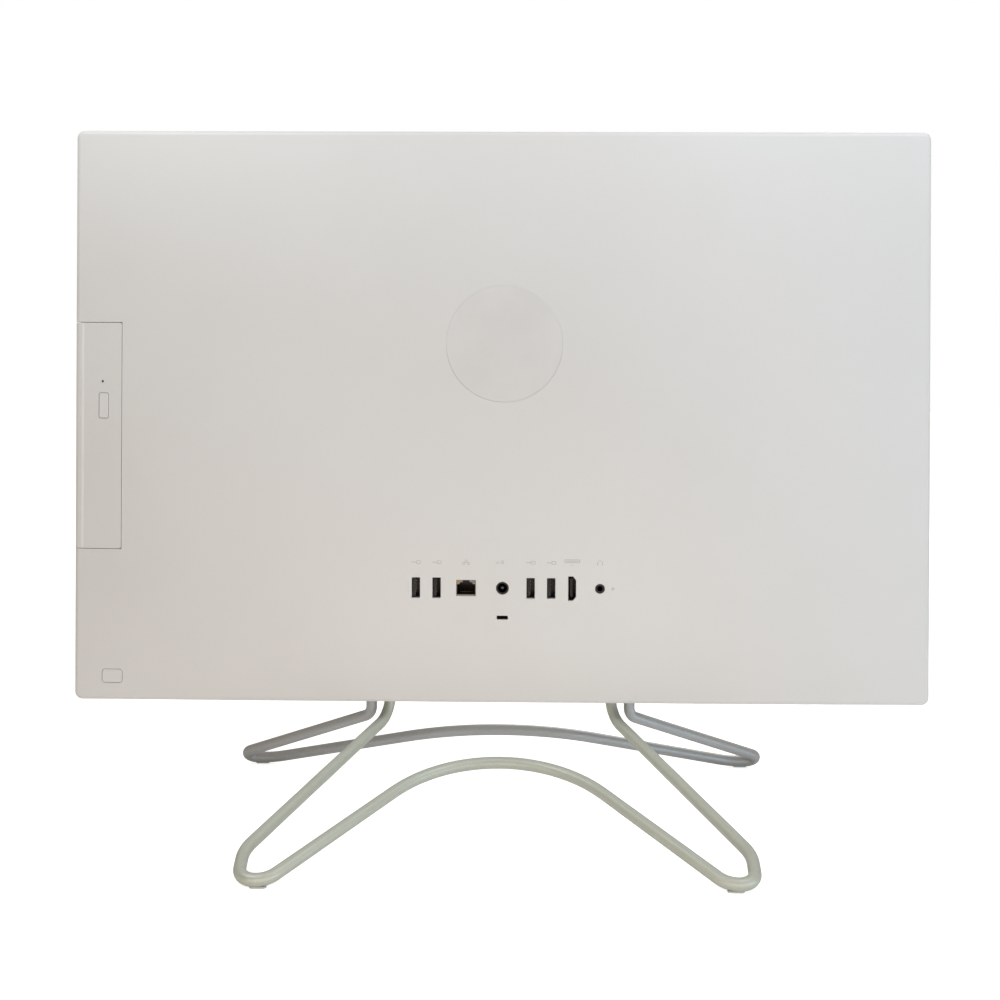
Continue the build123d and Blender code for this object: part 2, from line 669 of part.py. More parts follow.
def make_lan_jack():
    """The network socket: a block with a stepped opening and two light windows."""
    body = socket_block(LAN_X, *LAN_BODY, (BOARD_BACK, PORT_MOUTH), 0.4)
    nose = socket_block(LAN_X, LAN_OPENING[0] - 0.2, LAN_OPENING[1] - 0.2, (PORT_MOUTH - 1, NOSE_MOUTH), 0.2)
    deep = (BOARD_BACK + LAN_WALL, NOSE_MOUTH + 1)
    low = PORT_Z - LAN_OPENING[1] / 2 + LAN_SILL
    width, height = LAN_CAVITY
    jack = body + nose - slab((LAN_X - width / 2, LAN_X + width / 2), deep, (low, low + height))
    for step, rise in LAN_STEP:
        jack = jack - slab((LAN_X - step / 2, LAN_X + step / 2), deep, (low, low + height + rise))
    for sign in (-1, 1):
        jack = jack - lan_window(sign)
    return jack


def lan_window(sign):
    width, height = LAN_WINDOW
    top = PORT_Z + LAN_OPENING[1] / 2 - 0.35
    x = LAN_X + sign * (LAN_CAVITY[0] / 2 - width / 2)
    return slab((x - width / 2, x + width / 2), (NOSE_MOUTH - 4, NOSE_MOUTH), (top - height, top))


def make_lan_contacts():
    """Eight sprung wires, which start at the back wall of the cavity."""
    low = PORT_Z - LAN_OPENING[1] / 2 + LAN_SILL
    start = BOARD_BACK + LAN_WALL
    wires = []
    for i in range(8):
        x = LAN_X + (i - 3.5) * LAN_WIRE_PITCH
        wires.append(slab((x - 0.2, x + 0.2), (start, NOSE_MOUTH - 6), (low + 0.5, low + 0.9)))
    return grouped(wires)


ROUND_SOCKET_H = 11.0              # the round sockets' bodies, on the board
DC_BODY_W = 10.6
DC_BORE_R = 3.0
DC_PIN_R = 1.2
AUDIO_BODY_W = 7.6
AUDIO_BORE_R = 1.8


def round_socket(x, width, nose_r):
    """A block on the board, with a round nose that reaches into its hole in the back."""
    base = socket_block(x, width, ROUND_SOCKET_H, (BOARD_BACK, PORT_MOUTH - 1.2), 0.5)
    return base + rod_y(x, (PORT_MOUTH - 2, NOSE_MOUTH), PORT_Z, nose_r)


def make_dc_jack():
    bore = rod_y(DC_X, (BOARD_BACK + 4, NOSE_MOUTH + 1), PORT_Z, DC_BORE_R)
    return round_socket(DC_X, DC_BODY_W, DC_NOSE_R) - bore


def make_dc_pin():
    pin = rod_y(DC_X, (BOARD_BACK + 4, NOSE_MOUTH - 1.2), PORT_Z, DC_PIN_R)
    return fillet(pin.edges().filter_by(GeomType.CIRCLE).sort_by(Axis.Y)[-1], DC_PIN_R / 2)


VIDEO_TONGUE_X = (-0.3, 0.8)
VIDEO_TONGUE_H = 11.6


def make_video_shell():
    shell = video_outline(0.5, (BOARD_BACK, PORT_MOUTH))
    return shell - video_outline(-0.05, (BOARD_BACK + SOCKET_BACK, PORT_MOUTH + 1))


def make_video_tongue():
    core = video_outline(-0.1, (BOARD_BACK + SOCKET_BACK, BOARD_BACK + 6))
    tongue = slab([VIDEO_X + x for x in VIDEO_TONGUE_X], (BOARD_BACK + 5, PORT_MOUTH - 0.6),
                  (PORT_Z - VIDEO_TONGUE_H / 2, PORT_Z + VIDEO_TONGUE_H / 2))
    return core + tongue


def make_audio_jack():
    bore = rod_y(AUDIO_X, (BOARD_BACK + 3, NOSE_MOUTH + 1), PORT_Z, AUDIO_BORE_R)
    return round_socket(AUDIO_X, AUDIO_BODY_W, AUDIO_NOSE_R) - bore


def make_light_pipe():
    """The clear rod that carries the status light from the board to the back."""
    return rod_y(LIGHT_X, (BOARD_BACK, back_depth(LIGHT_X, PORT_Z) - 0.2), PORT_Z, LIGHT_R)


LOCK_PLATE_HALF_W = 13.0
LOCK_PLATE_HALF_H = 5.0
LOCK_PLATE_DEPTH = (41.4, 42.9)
LOCK_LEG_Z = -2.2                  # top of its legs and foot, from the slot
LOCK_FOOT_Z = -14.0
LOCK_FOOT_T = 1.5


def make_lock_plate():
    """The steel plate behind the lock slot, on two legs from the board's frame."""
    sides = (LOCK_X - LOCK_PLATE_HALF_W, LOCK_X + LOCK_PLATE_HALF_W)
    bottom = LOCK_Z - LOCK_PLATE_HALF_H
    plate = slab(sides, LOCK_PLATE_DEPTH, (bottom, LOCK_Z + LOCK_PLATE_HALF_H), Axis.Y, 1)
    foot = slab(sides, (PLATE_BACK, PLATE_BACK + LOCK_FOOT_T), (LOCK_Z + LOCK_FOOT_Z, LOCK_Z + LOCK_LEG_Z))
    legs = [slab(x, (PLATE_BACK, LOCK_PLATE_DEPTH[0] + 0.6), (bottom, LOCK_Z + LOCK_LEG_Z))
            for x in ((sides[0], sides[0] + 2), (sides[1] - 2, sides[1]))]
    bracket = joined([plate, foot] + legs)
    through = (LOCK_PLATE_DEPTH[0] - 1.4, LOCK_PLATE_DEPTH[1] + 2)
    return bracket - stadium(LOCK_X, LOCK_Z, *LOCK_OPENING, through, 0.5)


# ---------------------------------------------------------------- storage, memory and radio
MEMORY_X = (26.0, 96.0)
MEMORY_Z = (200.0, 236.0)
MEMORY_BAR = (4.4, -4.0, 1.5)      # height over the board, and its two edges from the module's
MEMORY_ARM = (4.0, 2.0, 24.0)      # height, width and reach
MODULE_DEPTH = (2.0, 3.2)          # over the board
MODULE_L = 28.0
CHIP_X = 30.0
CHIP_W = 11.0
CHIP_PITCH = 16.5
CHIP_T = 1.1


def make_memory_sockets():
    sockets = []
    height, low, high = MEMORY_BAR
    arm_h, arm_w, reach = MEMORY_ARM
    left, right = MEMORY_X
    for z in MEMORY_Z:
        bar = on_board(MEMORY_X, height, (z + low, z + high))
        arms = [on_board(x, arm_h, (z + 1, z + reach))
                for x in ((left - 1, left - 1 + arm_w), (right - 1, right - 1 + arm_w))]
        slot = slab((left + 1.1, right - 1.1), (BOARD_BACK + 1.9, BOARD_BACK + 3.3), (z - 2, z + 2))
        sockets.append(joined([bar] + arms) - slot)
    return grouped(sockets)


def make_memory_module(z):
    low, high = MODULE_DEPTH
    board = slab((MEMORY_X[0] + 1.2, MEMORY_X[1] - 1.2), (BOARD_BACK + low, BOARD_BACK + high),
                 (z - 1.9, z + MODULE_L))
    chips = []
    for i in range(4):
        x = CHIP_X + i * CHIP_PITCH
        chips.append(slab((x, x + CHIP_W), (BOARD_BACK + high, BOARD_BACK + high + CHIP_T), (z + 6, z + 18)))
    return joined([board] + chips)


RADIO_X = -85.0                    # middle of the radio card
RADIO_HALF_W = 11.0
RADIO_Z = (152.0, 182.0)
RADIO_DEPTH = (2.4, 3.2)           # over the board
SHIELD_Z = (156.0, 174.0)
SHIELD_TOP = 4.6


def make_radio_card():
    low, high = RADIO_DEPTH
    board = slab((RADIO_X - RADIO_HALF_W, RADIO_X + RADIO_HALF_W),
                 (BOARD_BACK + low, BOARD_BACK + high), RADIO_Z)
    shield = slab((RADIO_X - RADIO_HALF_W + 2, RADIO_X + RADIO_HALF_W - 2),
                  (BOARD_BACK + high, BOARD_BACK + SHIELD_TOP), SHIELD_Z)
    socket = on_board((RADIO_X - RADIO_HALF_W - 1, RADIO_X + RADIO_HALF_W + 1), low,
                      (RADIO_Z[0] - 2, RADIO_Z[0] + 3))
    post = rod_y(RADIO_X, (BOARD_BACK, BOARD_BACK + low), RADIO_Z[1] - 3, 2)
    return joined([board, shield, socket, post])


ANTENNA_X = (-232.0, 150.0)
ANTENNA_W = 60.0
ANTENNA_DEPTH = (16.0, 16.8)
ANTENNA_POST = (25.0, 35.0)


def make_antennas():
    blades = []
    for x in ANTENNA_X:
        blade = slab((x, x + ANTENNA_W), ANTENNA_DEPTH, (BODY_TOP - 16, BODY_TOP - 7))
        post = slab((x + ANTENNA_POST[0], x + ANTENNA_POST[1]), (PLATE_BACK, ANTENNA_DEPTH[0]),
                    (BODY_TOP - 14, BODY_TOP - 9))
        blades.append(blade + post)
    return grouped(blades)


BATTERY_X = 70.0
BATTERY_Z = 157.0
BATTERY_R = 10.0
BATTERY_TOP = 4.2


def make_clock_battery():
    holder = on_board((BATTERY_X - 12, BATTERY_X + 12), 1.4, (BATTERY_Z - 11, BATTERY_Z + 11), 4)
    return holder + rod_y(BATTERY_X, (BOARD_BACK + 1, BOARD_BACK + BATTERY_TOP), BATTERY_Z, BATTERY_R)


HDD_X = (-246.0, -145.6)
HDD_Z = (168.0, 237.9)
HDD_DEPTH = (18.2, 25.2)
HDD_SCREW_DEPTH = 21.2
HDD_SCREW_X = 14.0                 # from each end of the drive
HDD_SCREW_R = 1.5
HDD_HEAD_R = 2.5
HDD_TRAY_T = 1.2


def make_hard_drive():
    case = slab(HDD_X, HDD_DEPTH, HDD_Z, Axis.Y, 2.5)
    step = slab((HDD_X[0] + 4, HDD_X[1] - 26), (HDD_DEPTH[1] - 0.6, HDD_DEPTH[1] + 1),
                (HDD_Z[0] + 4, HDD_Z[1] - 4), Axis.Y, 14)
    return case - step


def hdd_screw_points():
    return [(x, z) for x in (HDD_X[0] + HDD_SCREW_X, HDD_X[1] - HDD_SCREW_X) for z in HDD_Z]


def make_hdd_bracket():
    """A pressed tray with a wall along each long side of the drive."""
    sides = (HDD_X[0] + 2, HDD_X[1] - 2)
    inner, outer = 0.2, 0.2 + HDD_TRAY_T
    floor = slab(sides, (PLATE_BACK, PLATE_BACK + HDD_TRAY_T), (HDD_Z[0] - 12, HDD_Z[1] + 12))
    walls = [slab(sides, (PLATE_BACK, 24), z)
             for z in ((HDD_Z[0] - outer, HDD_Z[0] - inner), (HDD_Z[1] + inner, HDD_Z[1] + outer))]
    bracket = joined([floor] + walls)
    for x, z in hdd_screw_points():
        bracket = bracket - rod_z(x, HDD_SCREW_DEPTH, (z - 3, z + 3), HDD_SCREW_R + 0.1)
    return bracket


def make_hdd_screws():
    """Four side screws, whose tips meet the drive."""
    screws = []
    for x, z in hdd_screw_points():
        out = -1 if z == HDD_Z[0] else 1
        tip = sorted((z, z + out * 1.5))
        head = sorted((z + out * 1.4, z + out * 2.8))
        shank = rod_z(x, HDD_SCREW_DEPTH, tip, HDD_SCREW_R)
        screws.append(shank + rod_z(x, HDD_SCREW_DEPTH, head, HDD_HEAD_R))
    return grouped(screws)


SPEAKER_X = (135.0, 215.0)
SPEAKER_Z = (64.5, 92.5)
SPEAKER_DEPTH = (4.4, 12.4)
DRIVER_X = 175.0
DRIVER_Z = 78.0
SURROUND_R = (9.0, 11.0)
SURROUND_FRONT = 3.2
DRIVER_DOME_R = 4.0


def make_speaker(sign):
    """One speaker box in the chin, with its round driver facing the grille."""
    box = slab(sorted(sign * x for x in SPEAKER_X), SPEAKER_DEPTH, SPEAKER_Z, Axis.Y, 3)
    centre = sign * DRIVER_X
    ring = rod_y(centre, (SURROUND_FRONT, 5), DRIVER_Z, SURROUND_R[1])
    ring = ring - rod_y(centre, (SURROUND_FRONT - 0.2, 4.2), DRIVER_Z, SURROUND_R[0])
    dome = rod_y(centre, (SURROUND_FRONT + 0.4, 5), DRIVER_Z, DRIVER_DOME_R)
    return box + ring + dome


# ---------------------------------------------------------------- optical drive
CASE_T = 0.7
TRAY_SIDE_GAP = 0.5
TRAY_DEPTH = (27.2, 33.6)
TRAY_END_X = 122.0
FACE_X = (245.9, 247.5)
HUB_X = 184.0
DISC_R = 60.6
SLED_ANGLE = 45.0
SLED_START = 25.0
SLED_TRAVEL = 33.0
SLED_SIZE = (16.0, 34.0)
SPINDLE_BORE_R = 15.5
SPINDLE_R = 14.8
CHUCK_R = 7.4
CLAW_SIZE = (1.2, 0.9, 2.4)
PICKUP_LENS_R = 2.6
WELL_DEEP = 1.6
TRAY_FLOOR = 1.5
FACE_DEPTH = (25.0, 37.0)
CASE_FOOT = (12.0, 10.0)
CASE_FOOT_X = (128.0, 222.0)
RIB_T = 1.6
RIB_Z = (172.0, 216.0, 282.0)


def make_drive_case():
    """The folded steel case of the drive, open towards +X, on two brackets."""
    z = (DRIVE_Z - DRIVE_H / 2, DRIVE_Z + DRIVE_H / 2)
    case = slab(DRIVE_X, DRIVE_DEPTH, z)
    cavity = slab((DRIVE_X[0] + CASE_T, DRIVE_X[1] + 1), (DRIVE_DEPTH[0] + CASE_T, DRIVE_DEPTH[1] - CASE_T),
                  (z[0] + CASE_T, z[1] - CASE_T))
    feet = []
    length, width = CASE_FOOT
    for x in CASE_FOOT_X:
        for edge in (z[0], z[1] - width):
            feet.append(slab((x, x + length), (PLATE_BACK, DRIVE_DEPTH[0]), (edge, edge + width)))
    return joined([case - cavity] + feet)


def sled_frame(along, width, height, depth):
    """A block turned to the sled's rail, centred a distance along it from the hub."""
    place = Pos(HUB_X, FRONT_Y + (depth[0] + depth[1]) / 2, DRIVE_Z) * Rot(0, SLED_ANGLE, 0)
    return place * Pos(-along, 0, 0) * Box(width, depth[1] - depth[0], height)


def make_disc_tray():
    """The tray: a plate with the disc well facing the rear, the hub's hole and the sled's window."""
    half = DRIVE_H / 2 - CASE_T - TRAY_SIDE_GAP
    z = (DRIVE_Z - half, DRIVE_Z + half)
    tray = slab((TRAY_END_X, FACE_X[0]), TRAY_DEPTH, z)
    face = slab(FACE_X, FACE_DEPTH, (z[0] + 2, z[1] - 2))
    above_floor = (TRAY_DEPTH[0] + TRAY_FLOOR, TRAY_DEPTH[1] + 1)
    tray = tray + face
    tray = tray - rod_y(HUB_X, (TRAY_DEPTH[1] - WELL_DEEP, TRAY_DEPTH[1] + 1), DRIVE_Z, DISC_R)
    tray = tray - rod_y(HUB_X, above_floor, DRIVE_Z, SPINDLE_BORE_R)
    window = sled_frame(SLED_START + SLED_TRAVEL / 2, SLED_TRAVEL + SLED_SIZE[0] + 1.2, SLED_SIZE[1] + 1.2,
                        above_floor)
    tray = tray - window
    axle = rod_y(HUB_X, (TRAY_DEPTH[0] + 1, TRAY_DEPTH[0] + 4), DRIVE_Z, AXLE_R)
    return tray + axle


def make_spindle_hub():
    """The turntable and its chuck, on the tray's axle."""
    low = TRAY_DEPTH[0] + TRAY_FLOOR + 0.3
    platter = rod_y(HUB_X, (low, TRAY_DEPTH[1] - 1.4), DRIVE_Z, SPINDLE_R)
    chuck = rod_y(HUB_X, (low, TRAY_DEPTH[1] + 0.3), DRIVE_Z, CHUCK_R)
    hub = platter + chuck - rod_y(HUB_X, (low - 1, TRAY_DEPTH[0] + 4.3), DRIVE_Z, AXLE_R + SHAFT_CLEARANCE)
    for i in range(3):
        on_top = Pos(HUB_X, FRONT_Y + TRAY_DEPTH[1] - 0.2, DRIVE_Z)
        claw = on_top * Rot(0, 120 * i, 0) * Pos(CHUCK_R - 0.2, 0, 0)
        hub = hub + claw * Box(*CLAW_SIZE)
    return hub


def make_laser_sled():
    """The pickup carriage with its lens."""
    depth = (TRAY_DEPTH[0] + 1.9, TRAY_DEPTH[1] - 2.0)
    sled = sled_frame(SLED_START, SLED_SIZE[0], SLED_SIZE[1], depth)
    on_top = Pos(HUB_X, FRONT_Y + TRAY_DEPTH[1] - 1.9, DRIVE_Z)
    lens_place = on_top * Rot(0, SLED_ANGLE, 0) * Pos(-SLED_START, 0, 0)
    lens = lens_place * Rot(90, 0, 0) * Cylinder(PICKUP_LENS_R, 0.5)
    frame = lens_place * Box(10, 0.3, 12)
    return sled + frame + lens


def make_drive_door(shell):
    """The part of the back shell that goes out with the tray, stiffened by ribs that meet the tray's face."""
    zone = slab((DOOR_X + DOOR_GAP, HALF_W + 5), (BEZEL_DEPTH + DOOR_GAP, RIM_DEPTH + 10),
                (DOOR_Z[0] + DOOR_GAP, DOOR_Z[1] - DOOR_GAP), Axis.Y, 1.2)
    door = shell & zone
    inside = domed_body(WALL - 0.3, RIM_R - WALL + 0.3)
    ribs = []
    for z in RIB_Z:
        rib = slab((FACE_X[1], HALF_W - 1), (25.5, RIM_DEPTH + 9), (z - RIB_T / 2, z + RIB_T / 2))
        ribs.append(rib & inside)
    door = joined([door] + ribs)
    hole = (EJECT_CAP[0] + 2 * BUTTON_GAP, EJECT_CAP[1] + 2 * BUTTON_GAP)
    door = door - stadium(EJECT_X, EJECT_Z, *hole, (RIM_DEPTH - 6, RIM_DEPTH + 9), 1.2)
    return door - rod_y(EJECT_X + 0.8, (RIM_DEPTH - 6, RIM_DEPTH + 9), PINHOLE_Z, PINHOLE_R)


# ---------------------------------------------------------------- buttons
FLANGE_GAP = 0.4                   # between a key's flange and the wall
KEY_EDGE_R = 0.35
STEM = 3.0
STEM_L = 2.2
SWITCH_DEPTH = (28.0, 29.6, 34.0)  # the board's two faces and the switch's top
EJECT_FLANGE = (7.6, 18.0)
POWER_FLANGE = (15.5, 11.0)


def capped_button(x, z, cap, flange, corner, proud):
    """A key that fills its hole, with a flange behind the wall and a stem."""
    outside = back_depth(x, z) + proud
    edge_x = x + flange[0] / 2
    inner = min(back_depth(edge_x, z + flange[1] / 2), back_depth(edge_x, z - flange[1] / 2))
    back = inner - WALL - FLANGE_GAP
    key = stadium(x, z, *cap, (back, outside), corner)
    rear_face = key.faces().sort_by(Axis.Y)[-1]
    key = fillet(rear_face.edges(), KEY_EDGE_R)
    key = key + stadium(x, z, *flange, (back - 1, back), 1.0)
    return key + stadium(x, z, STEM, STEM, (back - STEM_L, back), 0.5)


def make_eject_button():
    return capped_button(EJECT_X, EJECT_Z, EJECT_CAP, EJECT_FLANGE, 0.9, 0.05)


def make_power_button():
    return capped_button(POWER_X, POWER_Z, POWER_CAP, POWER_FLANGE, 1.7, 0.25)


def make_switch_board():
    """The small board and switch behind the power button, on a post from the frame plate."""
    front, back, top = SWITCH_DEPTH
    board = slab((POWER_X - 11, POWER_X + 9), (front, back), (POWER_Z - 5, POWER_Z + 13))
    switch = slab((POWER_X - STEM, POWER_X + STEM), (back, top), (POWER_Z - STEM, POWER_Z + STEM))
    post = slab((POWER_X - 11, POWER_X + 2), (PLATE_BACK, front), (POWER_Z + 4, POWER_Z + 12))
    return joined([board, switch, post])


# ---------------------------------------------------------------- hinge
BARREL_R = 9.0
BARREL_X = (62.5, 91.5)
EAR_T = 2.0
EAR_OUT_X = 93.8
EAR_IN_X = 58.2
HINGE_EAR_R = 8.5
EAR_GAP = 0.3                      # between an ear and the disc spring outside it
WASHER_T = 1.6
WASHER_R = 7.5
NUT_T = 4.6
NUT_R = 5.8
BRACKET_Z = (68.0, 108.0)
BRACKET_T = 1.6
HINGE_SCREW_R = 1.95
HINGE_HEAD_R = 3.5
HINGE_HEAD_T = 2.6
HEX_R = 1.4
HINGE_DEPTH = HINGE_Y - FRONT_Y
TUBE_TOP_Z = 73.2


def make_hinge_barrels():
    """The two steel barrels that the tubes are welded into, bored for the shaft."""
    barrel = rod_x(BARREL_X, HINGE_DEPTH, HINGE_Z, BARREL_R)
    barrel = barrel - rod_x((BARREL_X[0] - 1, BARREL_X[1] + 1), HINGE_DEPTH, HINGE_Z, SHAFT_R)
    for x in (REAR_LEG_X, FRONT_LEG_X):
        barrel = barrel - rod_z(x, HINGE_DEPTH, (HINGE_Z - BARREL_R - 1, TUBE_TOP_Z), TUBE_R)
    return grouped(mirrored([barrel]))


def make_hinge_shaft():
    end = EAR_OUT_X + EAR_T + EAR_GAP + WASHER_T + NUT_T + 1.0
    shaft = rod_x((-end, end), HINGE_DEPTH, HINGE_Z, SHAFT_R)
    return chamfer(shaft.edges().filter_by(GeomType.CIRCLE), 0.5)


def washer(x0, r):
    ring = rod_x((x0, x0 + WASHER_T), HINGE_DEPTH, HINGE_Z, r)
    return ring - rod_x((x0 - 1, x0 + WASHER_T + 1), HINGE_DEPTH, HINGE_Z, SHAFT_R)


def make_friction_washers():
    """Disc springs beside the barrels and outside the outer ears."""
    places = (BARREL_X[1], BARREL_X[0] - WASHER_T, EAR_OUT_X + EAR_T + EAR_GAP)
    return grouped(mirrored([washer(x, WASHER_R) for x in places]))


def make_hinge_nuts():
    start = EAR_OUT_X + EAR_T + EAR_GAP + WASHER_T
    place = Pos(start, HINGE_Y, HINGE_Z) * Rot(0, 90, 0)
    nut = place * extrude(RegularPolygon(NUT_R, 6), amount=NUT_T)
    nut = nut - rod_x((start - 1, start + NUT_T + 1), HINGE_DEPTH, HINGE_Z, SHAFT_R)
    return grouped(mirrored([nut]))


HINGE_SCREWS = ((76.0, 96.0), (76.0, 104.0))


def make_hinge_brackets():
    """Two bent steel brackets, each with an ear on both sides of its barrel."""
    base = slab((EAR_IN_X, EAR_OUT_X + EAR_T), (PLATE_BACK, PLATE_BACK + BRACKET_T), BRACKET_Z, Axis.Y, 1)
    ears = []
    for x in (EAR_IN_X, EAR_OUT_X):
        ear = slab((x, x + EAR_T), (PLATE_BACK, HINGE_DEPTH), (HINGE_Z - HINGE_EAR_R, HINGE_Z + HINGE_EAR_R))
        web = slab((x, x + EAR_T), (PLATE_BACK, HINGE_DEPTH - 4), (HINGE_Z, BRACKET_Z[1] - 1))
        ears.append(ear + web + rod_x((x, x + EAR_T), HINGE_DEPTH, HINGE_Z, HINGE_EAR_R))
    bracket = joined([base] + ears)
    bracket = bracket - rod_x((EAR_IN_X - 1, EAR_OUT_X + 5), HINGE_DEPTH, HINGE_Z, SHAFT_R + SHAFT_CLEARANCE)
    for x, z in HINGE_SCREWS:
        bracket = bracket - rod_y(x, (PLATE_BACK - 1, PLATE_BACK + 5), z, 2.0)
    return grouped(mirrored([bracket]))


def make_hinge_screws():
    screws = []
    for x, z in HINGE_SCREWS:
        seat = PLATE_BACK + BRACKET_T
        head = rod_y(x, (seat, seat + HINGE_HEAD_T), z, HINGE_HEAD_R)
        shank = rod_y(x, (PLATE_BACK, seat), z, HINGE_SCREW_R)
        socket = rod_y(x, (seat + 1, PLATE_BACK + 5), z, HEX_R)
        screws.append(head + shank - socket)
    return grouped(mirrored(screws))


# ---------------------------------------------------------------- tube stand
FOOT_Z = TUBE_R + PAD_T

# Each loop lies in a sloping plane from its feet up to the bends under the body. A point is x and the
# distance up that slope, measured from the feet.
REAR_FOOT_Y = 98.85
REAR_BEND_Z = 47.5
REAR_BEND_R = 16.0
REAR_KNEE = (136.9, 23.2)
REAR_KNEE_R = 26.0
REAR_TOE = (135.1, 0.0)
REAR_TOE_R = 9.5
REAR_HEEL = (119.9, 0.0)
REAR_HEEL_R = 13.0
REAR_ARCH = 152.7
REAR_ARCH_R = 77.0

FRONT_FOOT_Y = -98.85
FRONT_BEND_Z = 47.6
FRONT_BEND_R = 7.0
FRONT_TOE = (185.4, 0.0)
FRONT_TOE_R = 5.5
FRONT_HEEL = (154.3, 0.0)
FRONT_HEEL_R = 40.0
FRONT_ARCH = 54.0
FRONT_ARCH_R = 187.0


def slope_point(foot_y, bend_z, point):
    """Puts an in-plane point (x, distance up the slope) of a loop into space."""
    rise = bend_z - FOOT_Z
    run = HINGE_Y - foot_y
    length = math.hypot(run, rise)
    x, up = point
    return (x, foot_y + run * up / length, FOOT_Z + rise * up / length)


def bent_tube(corners, radii):
    """A round tube through one half's corners and on through their mirror images, apex included."""
    other = [(-x, y, z) for x, y, z in reversed(corners[:-1])]
    path = FilletPolyline(*(corners + other), radius=radii + radii[-2::-1])
    start = Plane(origin=path @ 0, z_dir=path % 0)
    return sweep(start * Circle(TUBE_R), path=path)


def make_rear_loop():
    corners = [(REAR_LEG_X, HINGE_Y, TUBE_TOP_Z), (REAR_LEG_X, HINGE_Y, REAR_BEND_Z)]
    for point in (REAR_KNEE, REAR_TOE, REAR_HEEL, (0.0, REAR_ARCH)):
        corners.append(slope_point(REAR_FOOT_Y, REAR_BEND_Z, point))
    return bent_tube(corners, [REAR_BEND_R, REAR_KNEE_R, REAR_TOE_R, REAR_HEEL_R, REAR_ARCH_R])


def make_front_loop():
    corners = [(FRONT_LEG_X, HINGE_Y, TUBE_TOP_Z), (FRONT_LEG_X, HINGE_Y, FRONT_BEND_Z)]
    for point in (FRONT_TOE, FRONT_HEEL, (0.0, FRONT_ARCH)):
        corners.append(slope_point(FRONT_FOOT_Y, FRONT_BEND_Z, point))
    return bent_tube(corners, [FRONT_BEND_R, FRONT_TOE_R, FRONT_HEEL_R, FRONT_ARCH_R])


PAD_L = 9.0
PAD_W = 3.6
PAD_H = 0.9
PAD_INSET = (4.5, 8.0)             # from the heel of each loop, rear and front


def make_foot_pads(rear, front):
    """Four rubber pads moulded round the undersides of the feet."""
    pads = []
    rear_place = (REAR_HEEL[0] + PAD_INSET[0], REAR_FOOT_Y, rear)
    front_place = (FRONT_HEEL[0] + PAD_INSET[1], FRONT_FOOT_Y, front)
    for x, y, tube in (rear_place, front_place):
        pad = Pos(x, y, PAD_H / 2) * Box(PAD_L, PAD_W, PAD_H)
        pad = fillet(pad.edges().filter_by(Axis.Z), PAD_W / 2 - 0.1)
        pads.append(pad - tube)
    return grouped(mirrored(pads))


# ---------------------------------------------------------------- assembly
def build_nodes():
    shell = make_shell()
    rear = make_rear_loop()
    front = make_front_loop()
    pipe = make_heat_pipe()
    nodes = {
        "stand_rear_loop": rear,
        "stand_front_loop": front,
        "stand_foot_pads": make_foot_pads(rear, front),
        "hinge_barrels": make_hinge_barrels(),
        "hinge_shaft": make_hinge_shaft(),
        "hinge_friction_washers": make_friction_washers(),
        "hinge_nuts": make_hinge_nuts(),
        "hinge_brackets": make_hinge_brackets(),
        "hinge_screws": make_hinge_screws(),
        "front_frame": make_front_frame(),
        "speaker_grille": make_speaker_grille(),
        "display_glass": make_display_glass(),
        "display_panel": make_display_panel(),
        "webcam_module": make_webcam(),
        "rear_cover": make_rear_cover(shell),
        "cover_screws": cover_screws(),
        "blank_emblem": make_emblem(),
        "frame_plate": make_frame_plate(),
        "board_screws": make_board_screws(),
        "main_board": make_main_board(),
        "board_components": make_board_parts(),
        "processor": make_processor(),
        "cold_plate": make_cold_plate(),
        "heat_pipe": pipe,
        "heatsink_fins": make_heatsink_fins(pipe),
        "blower_housing": make_blower_housing(),
        "blower_lid": make_blower_lid(),
        "blower_screws": make_blower_screws(),
        "fan_rotor": make_rotor(),
        "usb_shells": grouped([make_usb_shell(x) for x in USB_X]),
        "usb_tongues": make_usb_tongues(),
        "lan_jack": make_lan_jack(),
        "lan_light_windows": grouped([lan_window(-1), lan_window(1)]),
        "lan_contacts": make_lan_contacts(),
        "dc_jack": make_dc_jack(),
        "dc_pin": make_dc_pin(),
        "video_shell": make_video_shell(),
        "video_tongue": make_video_tongue(),
        "audio_jack": make_audio_jack(),
        "status_light_pipe": make_light_pipe(),
        "lock_plate": make_lock_plate(),
        "memory_sockets": make_memory_sockets(),
        "memory_module_1": make_memory_module(MEMORY_Z[0]),
        "memory_module_2": make_memory_module(MEMORY_Z[1]),
        "radio_card": make_radio_card(),
        "antennas": make_antennas(),
        "clock_battery": make_clock_battery(),
        "hard_drive": make_hard_drive(),
        "hard_drive_bracket": make_hdd_bracket(),
        "hard_drive_screws": make_hdd_screws(),
        "speaker_1": make_speaker(-1),
        "speaker_2": make_speaker(1),
        "optical_drive_case": make_drive_case(),
        "disc_tray": make_disc_tray(),
        "drive_door": make_drive_door(shell),
        "spindle_hub": make_spindle_hub(),
        "laser_sled": make_laser_sled(),
        "eject_button": make_eject_button(),
        "power_button": make_power_button(),
        "power_switch_board": make_switch_board(),
    }
    return nodes


os.makedirs("parts", exist_ok=True)
NODES = build_nodes()
for node_name, node_shape in NODES.items():
    export_step(node_shape, f"parts/{node_name}.step")
    print(node_name, len(node_shape.solids()), round(node_shape.volume, 1))
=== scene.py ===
import json
import math

import bmesh
import bpy
from mathutils import Matrix, Vector
from mathutils.bvhtree import BVHTree


